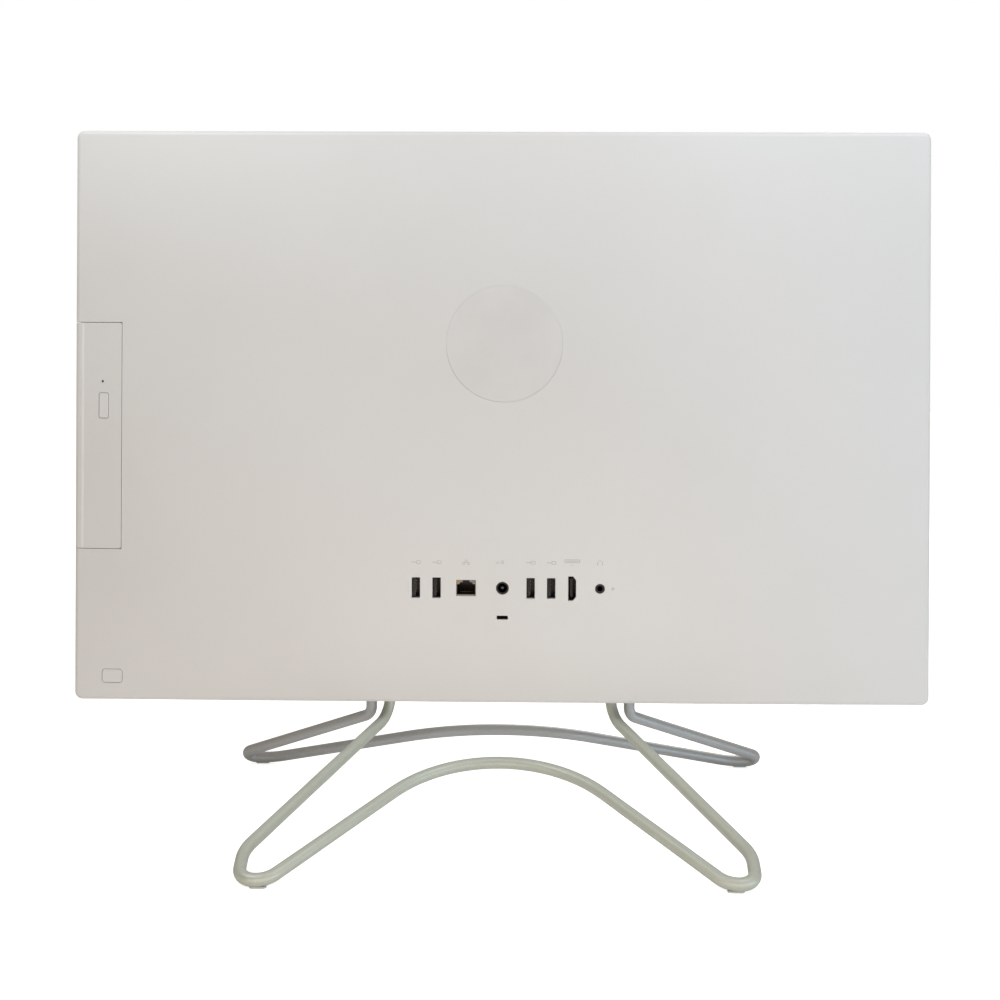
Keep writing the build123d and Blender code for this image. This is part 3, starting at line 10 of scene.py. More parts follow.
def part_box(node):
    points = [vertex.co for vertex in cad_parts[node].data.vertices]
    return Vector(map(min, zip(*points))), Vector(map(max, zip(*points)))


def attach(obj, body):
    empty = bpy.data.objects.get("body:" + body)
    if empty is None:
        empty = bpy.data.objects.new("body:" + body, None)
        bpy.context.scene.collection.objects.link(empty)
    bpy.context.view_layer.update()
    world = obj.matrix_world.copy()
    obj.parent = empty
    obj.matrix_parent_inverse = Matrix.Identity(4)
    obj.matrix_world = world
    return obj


# The looks of an all-in-one desktop computer, round its fixed frame.
# Metres. +Z is up, the screen faces -Y, the sockets face +Y, and the disc drive opens towards +X.

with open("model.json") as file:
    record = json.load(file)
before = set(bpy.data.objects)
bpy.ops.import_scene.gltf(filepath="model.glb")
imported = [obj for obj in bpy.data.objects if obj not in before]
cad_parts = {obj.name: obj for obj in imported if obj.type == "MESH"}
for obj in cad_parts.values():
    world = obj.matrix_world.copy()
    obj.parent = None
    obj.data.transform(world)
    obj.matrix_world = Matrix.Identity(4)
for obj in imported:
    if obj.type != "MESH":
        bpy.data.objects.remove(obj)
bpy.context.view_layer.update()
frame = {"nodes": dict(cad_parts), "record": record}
NODES = frame["nodes"]
MM = 0.001


# ---------------------------------------------------------------- materials
class Recipe:
    """One material: its shader, with short calls for the nodes that feed it."""

    def __init__(self, name, color, roughness, metallic=0.0, sockets=None):
        self.material = bpy.data.materials.new(name)
        self.material.use_nodes = True
        self.tree = self.material.node_tree
        self.shader = self.tree.nodes["Principled BSDF"]
        self.place = self.add("ShaderNodeTexCoord").outputs["Object"]
        self.last_bump = None
        self.set("Base Color", (*color, 1.0))
        self.set("Roughness", roughness)
        self.set("Metallic", metallic)
        for socket, value in (sockets or {}).items():
            self.set(socket, value)

    def add(self, kind):
        return self.tree.nodes.new(kind)

    def set(self, socket, value):
        self.shader.inputs[socket].default_value = value

    def link(self, output, target):
        self.tree.links.new(output, target)

    def stretched(self, factors):
        """The object's own coordinates, scaled along each axis."""
        mapping = self.add("ShaderNodeMapping")
        mapping.inputs["Scale"].default_value = factors
        self.link(self.place, mapping.inputs["Vector"])
        return mapping.outputs["Vector"]

    def noise(self, scale, detail=2.0, stretch=None):
        node = self.add("ShaderNodeTexNoise")
        node.inputs["Scale"].default_value = scale
        node.inputs["Detail"].default_value = detail
        place = self.stretched(stretch) if stretch else self.place
        self.link(place, node.inputs["Vector"])
        return node.outputs["Fac"]

    def cells(self, scale, feature="F1"):
        node = self.add("ShaderNodeTexVoronoi")
        node.feature = feature
        node.inputs["Scale"].default_value = scale
        self.link(self.place, node.inputs["Vector"])
        return node.outputs["Distance"]

    def along(self, axis):
        """One of the object's own coordinates, in metres."""
        split = self.add("ShaderNodeSeparateXYZ")
        self.link(self.place, split.inputs["Vector"])
        return split.outputs[axis]

    def math(self, operation, a, b):
        node = self.add("ShaderNodeMath")
        node.operation = operation
        for socket, value in zip(node.inputs, (a, b)):
            if isinstance(value, (int, float)):
                socket.default_value = value
            else:
                self.link(value, socket)
        return node.outputs["Value"]

    def ranged(self, value, low, high, start=0.0, end=1.0):
        """A value between low and high, turned into one between start and end."""
        node = self.add("ShaderNodeMapRange")
        for name, number in (("From Min", low), ("From Max", high), ("To Min", start), ("To Max", end)):
            node.inputs[name].default_value = number
        self.link(value, node.inputs["Value"])
        return node.outputs["Result"]

    def colour(self, factor, first, second):
        mix = self.add("ShaderNodeMix")
        mix.data_type = "RGBA"
        mix.inputs["A"].default_value = (*first, 1.0)
        mix.inputs["B"].default_value = (*second, 1.0)
        self.link(factor, mix.inputs["Factor"])
        return self.paint(mix.outputs["Result"])

    def over(self, factor, below, second):
        """Lays a second colour over one made before, where the factor is high."""
        mix = self.add("ShaderNodeMix")
        mix.data_type = "RGBA"
        self.link(below, mix.inputs["A"])
        mix.inputs["B"].default_value = (*second, 1.0)
        self.link(factor, mix.inputs["Factor"])
        return self.paint(mix.outputs["Result"])

    def paint(self, output):
        self.link(output, self.shader.inputs["Base Color"])
        return output

    def sheen(self, factor, low, high):
        """Roughness that varies from low to high with the factor."""
        self.link(self.ranged(factor, 0.3, 0.7, low, high), self.shader.inputs["Roughness"])

    def bump(self, height, distance):
        """Surface relief, of that many metres, on top of any before it."""
        node = self.add("ShaderNodeBump")
        node.inputs["Distance"].default_value = distance
        self.link(height, node.inputs["Height"])
        if self.last_bump:
            self.link(self.last_bump, node.inputs["Normal"])
        self.last_bump = node.outputs["Normal"]
        self.link(self.last_bump, self.shader.inputs["Normal"])


def highlight_white():
    """The body's white plastic, painted paler along a raised edge as a painted highlight, and smoother
    there.
    """
    recipe = Recipe("highlight_white", (0.85, 0.84, 0.82), 0.42, sockets={"IOR": 1.46})
    clouds = recipe.ranged(recipe.noise(30.0, 3.0), 0.3, 0.7)
    # Paler than the body's white: a painted highlight on the ridge.
    recipe.colour(clouds, (0.84, 0.828, 0.81), (0.87, 0.86, 0.845))
    recipe.sheen(recipe.noise(60.0), 0.38, 0.46)
    recipe.bump(recipe.noise(2600.0, 2.0), 6e-6)
    return recipe.material


def moulded_white():
    """The body's white plastic: a fine spark-eroded grain, a little uneven in tone and sheen."""
    recipe = Recipe("moulded_white", (0.80, 0.785, 0.765), 0.5, sockets={"IOR": 1.46})
    clouds = recipe.noise(5.0, 3.0)
    tone = recipe.colour(recipe.ranged(clouds, 0.3, 0.7), (0.775, 0.765, 0.745), (0.815, 0.805, 0.79))
    specks = recipe.ranged(recipe.noise(900.0, 1.0), 0.66, 0.8, 0.0, 0.35)
    recipe.over(specks, tone, (0.72, 0.71, 0.69))
    recipe.sheen(recipe.noise(26.0, 3.0), 0.46, 0.56)
    recipe.bump(recipe.noise(2600.0, 2.0), 12e-6)
    recipe.bump(recipe.noise(14.0, 1.0), 60e-6)
    return recipe.material


def satin_silver(name="satin_silver", tint=(0.595, 0.63, 0.555)):
    """The tubes' silver paint: metal flakes under a thin satin coat."""
    coat = {"Coat Weight": 0.12, "Coat Roughness": 0.4}
    recipe = Recipe(name, tint, 0.4, 0.35, coat)
    flakes = recipe.ranged(recipe.cells(2600.0), 0.1, 0.6)
    tone = recipe.colour(flakes, tint, [0.835 * part for part in tint])
    rubbed = recipe.ranged(recipe.noise(30.0, 4.0), 0.62, 0.78, 0.0, 0.35)
    recipe.over(rubbed, tone, [0.74 * part for part in tint])
    recipe.sheen(recipe.noise(40.0, 3.0), 0.4, 0.52)
    recipe.bump(recipe.noise(900.0, 2.0), 10e-6)
    return recipe.material


def foot_rubber():
    """Milky clear rubber with a dusty bloom and a fine moulded grain."""
    milkiness = {"Subsurface Weight": 0.3, "Subsurface Scale": 0.002}
    recipe = Recipe("foot_rubber", (0.6, 0.6, 0.57), 0.5, sockets=milkiness)
    dust = recipe.ranged(recipe.noise(180.0, 4.0), 0.4, 0.75)
    recipe.colour(dust, (0.62, 0.62, 0.6), (0.5, 0.495, 0.47))
    recipe.sheen(recipe.noise(90.0), 0.42, 0.6)
    recipe.bump(recipe.noise(1500.0, 2.0), 30e-6)
    return recipe.material


def moulded_black(name="moulded_black", shade=0.022, rough=(0.42, 0.6)):
    """Black engineering plastic, as in sockets, holders and the fan."""
    recipe = Recipe(name, (shade, shade, shade * 1.05), 0.5, sockets={"IOR": 1.5})
    clouds = recipe.ranged(recipe.noise(120.0, 3.0), 0.35, 0.7)
    recipe.colour(clouds, (shade * 0.8, shade * 0.8, shade * 0.82), (shade * 1.5, shade * 1.5, shade * 1.6))
    recipe.sheen(recipe.noise(60.0, 3.0), *rough)
    recipe.bump(recipe.noise(3200.0, 2.0), 8e-6)
    return recipe.material


def zinc_sheet():
    """Zinc-plated sheet steel with its spangle and faint rolling lines."""
    recipe = Recipe("zinc_sheet", (0.55, 0.56, 0.56), 0.38, 1.0)
    spangle = recipe.ranged(recipe.cells(160.0), 0.0, 0.7)
    recipe.colour(spangle, (0.50, 0.51, 0.52), (0.66, 0.67, 0.67))
    recipe.sheen(recipe.noise(160.0, 3.0), 0.3, 0.45)
    recipe.bump(recipe.noise(900.0, 2.0, (1.0, 1.0, 0.03)), 6e-6)
    return recipe.material


def turned_steel(name="turned_steel", dark=(0.28, 0.28, 0.29), light=(0.45, 0.45, 0.46)):
    """Machined steel, faintly ringed, with a film of oil."""
    recipe = Recipe(name, light, 0.35, 1.0)
    film = recipe.ranged(recipe.noise(220.0, 4.0), 0.35, 0.7)
    recipe.colour(film, dark, light)
    recipe.sheen(recipe.noise(400.0, 2.0), 0.24, 0.42)
    recipe.bump(recipe.noise(2600.0, 1.0, (1.0, 0.08, 0.08)), 5e-6)
    return recipe.material


def port_metal():
    """Thin bright plating on the sleeves of the sockets."""
    recipe = Recipe("port_metal", (0.42, 0.42, 0.43), 0.3, 1.0)
    recipe.colour(recipe.ranged(recipe.noise(500.0, 3.0), 0.35, 0.7), (0.34, 0.34, 0.35), (0.5, 0.5, 0.51))
    recipe.sheen(recipe.noise(700.0, 2.0), 0.22, 0.38)
    recipe.bump(recipe.noise(2000.0, 1.0, (1.0, 0.1, 1.0)), 4e-6)
    return recipe.material


def dark_glass():
    """The screen when it is off: black glass, a little greyer over the picture area than round its edge."""
    low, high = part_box("display_glass")
    border = 8.0 * MM                  # printed black, round the picture area
    gloss = {"IOR": 1.5, "Coat Weight": 0.3, "Coat Roughness": 0.04}
    recipe = Recipe("dark_glass", (0.006, 0.007, 0.009), 0.08, sockets=gloss)
    centre_x = (low.x + high.x) / 2
    centre_z = (low.z + high.z) / 2
    across = recipe.math("ABSOLUTE", recipe.math("SUBTRACT", recipe.along("X"), centre_x), 0.0)
    up = recipe.math("ABSOLUTE", recipe.math("SUBTRACT", recipe.along("Z"), centre_z), 0.0)
    edge_x = recipe.math("SUBTRACT", across, (high.x - low.x) / 2 - border)
    edge_z = recipe.math("SUBTRACT", up, (high.z - low.z) / 2 - border)
    outside = recipe.ranged(recipe.math("MAXIMUM", edge_x, edge_z), -0.2 * MM, 0.2 * MM)
    tone = recipe.colour(outside, (0.011, 0.012, 0.016), (0.004, 0.004, 0.005))
    smear = recipe.ranged(recipe.noise(9.0, 5.0), 0.55, 0.8, 0.0, 0.25)
    recipe.over(smear, tone, (0.02, 0.021, 0.024))
    recipe.sheen(recipe.noise(12.0, 5.0), 0.06, 0.13)
    return recipe.material


def emblem_plastic():
    """The blank disc: the same white, a touch greyer and smoother."""
    recipe = Recipe("emblem_plastic", (0.78, 0.77, 0.75), 0.4, sockets={"IOR": 1.47})
    clouds = recipe.ranged(recipe.noise(40.0, 3.0), 0.3, 0.7)
    recipe.colour(clouds, (0.755, 0.742, 0.725), (0.785, 0.773, 0.757))
    recipe.sheen(recipe.noise(60.0), 0.38, 0.46)
    recipe.bump(recipe.noise(3000.0, 2.0), 5e-6)
    return recipe.material


def marking_ink():
    """Pale grey pad-printed ink, slightly broken at its edges."""
    recipe = Recipe("marking_ink", (0.52, 0.515, 0.505), 0.6)
    cover = recipe.ranged(recipe.noise(1800.0, 3.0), 0.4, 0.65)
    recipe.colour(cover, (0.48, 0.475, 0.47), (0.58, 0.575, 0.565))
    recipe.sheen(recipe.noise(800.0), 0.5, 0.7)
    recipe.bump(recipe.noise(4000.0, 1.0), 3e-6)
    return recipe.material


def circuit_board(name="circuit_board"):
    """Green solder mask over faint traces, with the glass cloth just showing."""
    recipe = Recipe(name, (0.02, 0.11, 0.05), 0.35, sockets={"Coat Weight": 0.2})
    traces = recipe.ranged(recipe.cells(260.0, "DISTANCE_TO_EDGE"), 0.02, 0.06)
    tone = recipe.colour(traces, (0.035, 0.17, 0.075), (0.015, 0.085, 0.04))
    pads = recipe.ranged(recipe.noise(700.0, 1.0), 0.7, 0.74)
    recipe.over(pads, tone, (0.55, 0.5, 0.36))
    recipe.sheen(recipe.noise(300.0, 2.0), 0.28, 0.42)
    recipe.bump(traces, 15e-6)
    return recipe.material


def bare_copper():
    """Copper with a light tarnish."""
    recipe = Recipe("bare_copper", (0.75, 0.36, 0.22), 0.3, 1.0)
    recipe.colour(recipe.ranged(recipe.noise(90.0, 4.0), 0.35, 0.7), (0.55, 0.24, 0.14), (0.82, 0.43, 0.28))
    recipe.sheen(recipe.noise(160.0, 3.0), 0.22, 0.42)
    recipe.bump(recipe.noise(1200.0, 1.0, (1.0, 1.0, 0.1)), 5e-6)
    return recipe.material


def cast_aluminium():
    """Pale aluminium with a fine sandblasted grain."""
    recipe = Recipe("cast_aluminium", (0.7, 0.71, 0.72), 0.42, 1.0)
    recipe.colour(recipe.ranged(recipe.noise(70.0, 4.0), 0.35, 0.7), (0.6, 0.61, 0.62), (0.75, 0.76, 0.77))
    recipe.sheen(recipe.noise(120.0, 2.0), 0.34, 0.5)
    recipe.bump(recipe.noise(2400.0, 2.0), 10e-6)
    return recipe.material


def gold_plate():
    """Gold on spring contacts, worn a little where a plug rubs."""
    recipe = Recipe("gold_plate", (0.85, 0.6, 0.25), 0.28, 1.0)
    recipe.colour(recipe.ranged(recipe.noise(900.0, 3.0), 0.4, 0.75), (0.88, 0.63, 0.27), (0.6, 0.5, 0.36))
    recipe.sheen(recipe.noise(900.0, 2.0), 0.2, 0.36)
    recipe.bump(recipe.noise(3000.0, 1.0), 3e-6)
    return recipe.material


def light_window(name, clear, tinted):
    """Moulded translucent plastic over an indicator light."""
    depth = {"IOR": 1.49, "Subsurface Weight": 0.2, "Subsurface Scale": 0.001}
    recipe = Recipe(name, clear, 0.25, sockets=depth)
    recipe.colour(recipe.ranged(recipe.noise(600.0, 2.0), 0.35, 0.7), clear, tinted)
    recipe.sheen(recipe.noise(500.0, 2.0), 0.2, 0.34)
    recipe.bump(recipe.cells(1800.0), 10e-6)
    return recipe.material


def network_socket():
    """Black plastic behind a thin face of tarnished plating, which shows round the stepped opening."""
    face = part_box("lan_jack")[1].y
    recipe = Recipe("network_socket", (0.01, 0.01, 0.011), 0.45, sockets={"IOR": 1.5})
    clouds = recipe.ranged(recipe.noise(120.0, 3.0), 0.35, 0.7)
    tone = recipe.colour(clouds, (0.008, 0.008, 0.009), (0.014, 0.014, 0.015))
    plated = recipe.ranged(recipe.along("Y"), face - 0.3 * MM, face - 0.15 * MM)
    recipe.over(plated, tone, (0.34, 0.3, 0.25))
    recipe.sheen(recipe.noise(60.0, 3.0), 0.36, 0.5)
    recipe.bump(recipe.noise(3200.0, 2.0), 8e-6)
    return recipe.material


def activity_windows():
    """The network socket's two light windows: one amber, one grey-green."""
    low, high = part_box("lan_light_windows")
    recipe = Recipe("activity_windows", (0.4, 0.3, 0.14), 0.3, sockets={"IOR": 1.49})
    grain = recipe.ranged(recipe.noise(600.0, 2.0), 0.35, 0.7)
    tone = recipe.colour(grain, (0.42, 0.28, 0.08), (0.34, 0.23, 0.08))
    other = recipe.ranged(recipe.along("X"), (low.x + high.x) / 2, (low.x + high.x) / 2 - 1 * MM)
    recipe.over(other, tone, (0.26, 0.26, 0.21))
    recipe.sheen(recipe.noise(500.0, 2.0), 0.24, 0.38)
    recipe.bump(recipe.cells(1800.0), 10e-6)
    return recipe.material


def tray_plastic():
    """The dark grey disc tray, with a coarser grain."""
    recipe = Recipe("tray_plastic", (0.05, 0.05, 0.053), 0.5)
    clouds = recipe.ranged(recipe.noise(50.0, 3.0), 0.35, 0.7)
    recipe.colour(clouds, (0.042, 0.042, 0.045), (0.06, 0.06, 0.064))
    recipe.sheen(recipe.noise(80.0, 3.0), 0.44, 0.6)
    recipe.bump(recipe.noise(1700.0, 2.0), 18e-6)
    return recipe.material


def panel_foil():
    """The panel's metallised back tray, with a faint brushed line."""
    recipe = Recipe("panel_foil", (0.6, 0.61, 0.62), 0.4, 0.9)
    recipe.colour(recipe.ranged(recipe.noise(40.0, 4.0), 0.35, 0.7), (0.52, 0.53, 0.54), (0.64, 0.65, 0.66))
    recipe.sheen(recipe.noise(60.0, 3.0), 0.34, 0.48)
    recipe.bump(recipe.noise(900.0, 1.0, (0.04, 1.0, 1.0)), 6e-6)
    return recipe.material


def antenna_foil():
    """A printed aerial under clear film."""
    recipe = Recipe("antenna_foil", (0.6, 0.58, 0.5), 0.35, 0.8)
    aerial = recipe.ranged(recipe.cells(300.0, "DISTANCE_TO_EDGE"), 0.05, 0.1)
    recipe.colour(aerial, (0.3, 0.28, 0.2), (0.66, 0.63, 0.54))
    recipe.sheen(recipe.noise(300.0), 0.28, 0.42)
    recipe.bump(recipe.noise(1200.0), 8e-6)
    return recipe.material


WHITE = moulded_white()
# The ridge's paler white is a painted highlight.
RIDGE_HIGHLIGHT = highlight_white()
SILVER = satin_silver()
# The same tube paint, darker and bluer for the front loop: painted shade and painted cool light.
SHADED_SILVER = satin_silver("shaded_silver", (0.52, 0.54, 0.55))
RUBBER = foot_rubber()
BLACK = moulded_black()
SOCKET_BLACK = moulded_black("socket_black", 0.009, (0.34, 0.5))
ZINC = zinc_sheet()
BLACKENED = turned_steel("blackened_steel", (0.06, 0.06, 0.065), (0.14, 0.14, 0.145))
SCREW = turned_steel()
PORT = port_metal()
GLASS = dark_glass()
EMBLEM = emblem_plastic()
INK = marking_ink()
BOARD = circuit_board()
COPPER = bare_copper()
ALUMINIUM = cast_aluminium()
GOLD = gold_plate()
NETWORK = network_socket()
AMBER = activity_windows()
CLEAR = light_window("clear_window", (0.72, 0.71, 0.69), (0.6, 0.59, 0.57))
TRAY = tray_plastic()
PANEL = panel_foil()
FOIL = antenna_foil()

SLOT_FINISH = {
    "shell_white": WHITE,
    "tube_silver": SILVER,
    "foot_rubber": RUBBER,
    "hinge_steel": BLACKENED,
    "plated_steel": ZINC,
    "screw_steel": SCREW,
    "screen_glass": GLASS,
    "panel_back": PANEL,
    "black_plastic": BLACK,
    "emblem_grey": EMBLEM,
    "board_green": BOARD,
    "processor_grey": ALUMINIUM,
    "copper": COPPER,
    "fin_aluminium": ALUMINIUM,
    "port_metal": PORT,
    "amber_window": AMBER,
    "clear_window": CLEAR,
    "gold_contact": GOLD,
    "antenna_foil": FOIL,
    "tray_grey": TRAY,
}
OWN_FINISH = {
    # The front loop's darker, bluer copy of the tube paint is painted shade.
    "stand_front_loop": SHADED_SILVER,
    "usb_tongues": SOCKET_BLACK,
    "lan_jack": NETWORK,
    "dc_jack": SOCKET_BLACK,
    "dc_pin": BLACKENED,
    "video_tongue": SOCKET_BLACK,
    "audio_jack": SOCKET_BLACK,
}


def finish_nodes():
    """Gives every CAD node its own finish, or that of its slot in the record."""
    for subpart in frame["record"]["subparts"]:
        finish = OWN_FINISH.get(subpart["node"], SLOT_FINISH[subpart["material_slot"]])
        for slot in NODES[subpart["node"]].material_slots:
            slot.material = finish


# ---------------------------------------------------------------- shape helpers
def surface_of(node):
    """The node's mesh, ready to be probed with rays."""
    mesh = NODES[node].data
    points = [vertex.co for vertex in mesh.vertices]
    return BVHTree.FromPolygons(points, [tuple(face.vertices) for face in mesh.polygons])


def height_on(tree, x, z):
    """Where the back face is at x, z, seen from behind."""
    hit = tree.ray_cast(Vector((x, 1.0, z)), Vector((0, -1, 0)))[0]
    return hit.y


def new_piece(name, build, finish, body):
    """A mesh piece that rides on a body. build fills a bmesh."""
    mesh = bpy.data.meshes.new(name)
    shape = bmesh.new()
    build(shape)
    bmesh.ops.recalc_face_normals(shape, faces=shape.faces)
    shape.to_mesh(mesh)
    shape.free()
    mesh.materials.append(finish)
    piece = bpy.data.objects.new(name, mesh)
    bpy.context.scene.collection.objects.link(piece)
    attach(piece, body)
    return piece


def circle_points(x, z, radius, start=0.0, end=360.0, count=32):
    """Points on an arc in the X-Z plane, angles in degrees from +X towards +Z."""
    points = []
    for i in range(count + 1):
        angle = math.radians(start + (end - start) * i / count)
        points.append((x + radius * math.cos(angle), z + radius * math.sin(angle)))
    return points


CORNER_LIMIT = 0.5                     # a corner's points go out to at most half the width over this


def ribbon(shape, tree, points, width, closed=False, lift=0.03 * MM):
    """A printed line: a flat strip through points in X-Z, laid on the surface under it."""
    if closed and points[0] == points[-1]:
        points = points[:-1]
    count = len(points)
    rows = []
    for i, (x, z) in enumerate(points):
        before = points[i - 1] if closed or i else points[i]
        after = points[(i + 1) % count] if closed or i < count - 1 else points[i]
        into = Vector((x - before[0], z - before[1]))
        out = Vector((after[0] - x, after[1] - z))
        into = into.normalized() if into.length else out.normalized()
        out = out.normalized() if out.length else into
        along = (into + out).normalized()
        miter = width / 2 / max(CORNER_LIMIT, along.dot(out))
        across = Vector((-along.y, along.x)) * miter
        ring = []
        for side, rise in ((1, lift), (-1, lift), (-1, -lift), (1, -lift)):
            px = x + side * across.x
            pz = z + side * across.y
            ring.append(shape.verts.new((px, height_on(tree, x, z) + rise, pz)))
        rows.append(ring)
    spans = count if closed else count - 1
    for i in range(spans):
        first = rows[i]
        second = rows[(i + 1) % count]
        for k in range(4):
            shape.faces.new((first[k], first[(k + 1) % 4], second[(k + 1) % 4], second[k]))
    if not closed:
        shape.faces.new(rows[0])
        shape.faces.new(reversed(rows[-1]))


def block(shape, low, high, bevel=0.0):
    """A box between two corners, with its edges rounded where a bevel is given."""
    made = bmesh.ops.create_cube(shape, size=1.0)["verts"]
    size = Vector(high) - Vector(low)
    middle = (Vector(high) + Vector(low)) / 2
    for vertex in made:
        vertex.co = Vector((vertex.co.x * size.x, vertex.co.y * size.y, vertex.co.z * size.z)) + middle
    if bevel:
        edges = {edge for vertex in made for edge in vertex.link_edges}
        bmesh.ops.bevel(shape, geom=list(edges), offset=bevel, segments=2, profile=0.5, affect="EDGES")


# ---------------------------------------------------------------- printed marks
MARK_RISE = 16.1 * MM                  # from the middle of a socket up to its mark
SCREEN_MARK_RISE = 1.1 * MM            # how much higher the screen's mark stands
LINE = 0.3 * MM
FINE_LINE = 0.24 * MM
BOLD_LINE = 0.36 * MM


def outline(x, z, half_w, half_h):
    """The corners of an upright rectangle, anticlockwise in X-Z from its lower left."""
    left = x - half_w
    right = x + half_w
    bottom = z - half_h
    top = z + half_h
    return [(left, bottom), (right, bottom), (right, top), (left, top)]


def plug_mark(shape, tree, x, z):
    """A plug on its lead: generic, for a data socket."""
    body_x = x - 1.6 * MM
    half_w = 1.2 * MM
    half_h = 0.85 * MM
    lead_end = x + 2.8 * MM
    lead_width = 0.39 * MM
    ribbon(shape, tree, outline(body_x, z, half_w, half_h), LINE, closed=True)
    ribbon(shape, tree, [(body_x + half_w + LINE / 2, z), (lead_end, z)], lead_width)


def network_mark(shape, tree, x, z):
    """Three boxes joined by lines."""
    half = 0.6 * MM
    reach = 1.6 * MM
    rise = 0.9 * MM
    for cx, cz in ((x, z + rise), (x - reach, z - rise), (x + reach, z - rise)):
        ribbon(shape, tree, outline(cx, cz, half, half), FINE_LINE, closed=True)
    foot = z - rise + half
    tie_width = 0.21 * MM
    tie = [(x - reach, foot), (x - reach, z), (x + reach, z), (x + reach, foot)]
    ribbon(shape, tree, tie, tie_width)


def power_mark(shape, tree, x, z):
    """A solid bar over a broken one, and a ring."""
    bar_x = x + 2.2 * MM
    bar_w = 1.9 * MM
    bar_z = z + 0.2 * MM
    dash_z = z - 0.5 * MM
    dash_w = 0.45 * MM
    dash_step = 0.7 * MM
    ring_z = z + 0.3 * MM
    ring_r = 0.8 * MM
    ribbon(shape, tree, [(bar_x, bar_z), (bar_x + bar_w, bar_z)], LINE)
    for i in range(3):
        start = bar_x + i * dash_step
        ribbon(shape, tree, [(start, dash_z), (start + dash_w, dash_z)], LINE)
    ribbon(shape, tree, circle_points(x, ring_z, ring_r), BOLD_LINE, closed=True)


def screen_mark(shape, tree, x, z):
    """A wide flat screen on its foot."""
    screen_z = z + SCREEN_MARK_RISE
    half_w = 4.6 * MM
    half_h = 0.85 * MM
    picture = half_w * 0.8
    foot = 1.0 * MM
    foot_z = screen_z - 2.4 * MM
    ribbon(shape, tree, outline(x, screen_z, half_w, half_h), BOLD_LINE, closed=True)
    ribbon(shape, tree, [(x - picture, screen_z), (x + picture, screen_z)], BOLD_LINE)
    ribbon(shape, tree, [(x - foot, foot_z), (x + foot, foot_z)], FINE_LINE)


def headset_mark(shape, tree, x, z):
    """A headband with two ear pads."""
    radius = 1.5 * MM
    pad_length = 1.2 * MM
    pad_width = 0.48 * MM
    ribbon(shape, tree, circle_points(x, z, radius, 0, 180), FINE_LINE)
    for side in (-radius, radius):
        ribbon(shape, tree, [(x + side, z), (x + side, z - pad_length)], pad_width)


def middle_of(node):
    low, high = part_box(node)
    return (low + high) / 2


# Wider than the inside of one socket's sleeve, and narrower than the way from one sleeve to the next.
SLEEVE_GAP = 6.0 * MM


def usb_columns():
    """The x of each data socket, from the separate sleeves in its node."""
    mesh = NODES["usb_shells"].data
    columns = []
    for vertex in sorted(mesh.vertices, key=lambda v: v.co.x):
        if not columns or vertex.co.x - columns[-1][-1] > SLEEVE_GAP:
            columns.append([])
        columns[-1].append(vertex.co.x)
    return [(min(column) + max(column)) / 2 for column in columns]


def make_marks():
    cover = surface_of("rear_cover")
    row = middle_of("usb_shells").z + MARK_RISE
    drawings = [("plug", plug_mark, x) for x in usb_columns()]
    drawings.append(("network", network_mark, middle_of("lan_jack").x))
    drawings.append(("power", power_mark, middle_of("dc_jack").x))
    drawings.append(("screen", screen_mark, middle_of("video_shell").x))
    drawings.append(("headset", headset_mark, middle_of("audio_jack").x))
    for i, (name, draw, x) in enumerate(drawings):
        new_piece(f"mark_{name}_{i}", lambda shape: draw(shape, cover, x, row), INK, "head")


def make_emblem_rings():
    """Two fine raised rings, in the disc's own tone, which finish the blank disc."""
    disc = surface_of("blank_emblem")
    low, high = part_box("blank_emblem")
    centre = middle_of("blank_emblem")
    radius = (high.x - low.x) / 2
    rings = ((0.7, 1.8 * MM), (0.45, 1.2 * MM))      # share of the disc's radius, and width
    rise = 0.08 * MM

    def build(shape):
        for share, width in rings:
            ring = circle_points(centre.x, centre.z, radius * share, count=96)[:-1]
            ribbon(shape, disc, ring, width, closed=True, lift=rise)

    new_piece("emblem_rings", build, EMBLEM, "head")


def make_door_ridge():
    """A low rounded ridge down the outer edge of the disc drive's cover."""
    door = surface_of("drive_door")
    low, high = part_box("drive_door")
    inset = 4.9 * MM                   # just in from the rounded outer edge
    x = high.x - inset
    half_w = 1.1 * MM
    rise = 0.22 * MM
    sink = 0.05 * MM                   # its edges lie this far under the cover's face
    end_gap = 0.6 * MM
    bottom = low.z + end_gap
    length = high.z - low.z - 2 * end_gap
    stations = 24
    around = 10

    def build(shape):
        rows = []
        for i in range(stations + 1):
            z = bottom + length * i / stations
            y = height_on(door, x, z) - sink
            row = []
            for k in range(around + 1):
                angle = math.pi * k / around
                row.append(shape.verts.new((x + half_w * math.cos(angle), y + rise * math.sin(angle), z)))
            rows.append(row)
        for lower, upper in zip(rows, rows[1:]):
            for k in range(around + 1):
                after = (k + 1) % (around + 1)
                shape.faces.new((lower[k], lower[after], upper[after], upper[k]))
        shape.faces.new(rows[0])
        shape.faces.new(list(reversed(rows[-1])))

    # Its paler white is a painted highlight down the cover's edge.
    new_piece("door_ridge", build, RIDGE_HIGHLIGHT, "tray")


# ---------------------------------------------------------------- inside the sockets
def make_usb_contacts():
    """Four gold strips on each tongue."""
    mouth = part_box("usb_tongues")[1].y
    middle_z = middle_of("usb_tongues").z
    columns = usb_columns()
    steps = (-3.5 * MM, -1.25 * MM, 1.25 * MM, 3.5 * MM)
    half_w = 0.5 * MM
    inside = 0.08 * MM                 # from the socket's middle to the strip's hidden side
    outside = 0.25 * MM                # and to its bare side, just proud of the tongue
    back = mouth - 7.0 * MM
    front = mouth - 2.6 * MM
    rounding = 0.04 * MM

    def build(shape):
        for x in columns:
            for step in steps:
                z = middle_z + step
                block(shape, (x + inside, back, z - half_w), (x + outside, front, z + half_w), rounding)

    new_piece("usb_contacts", build, GOLD, "head")


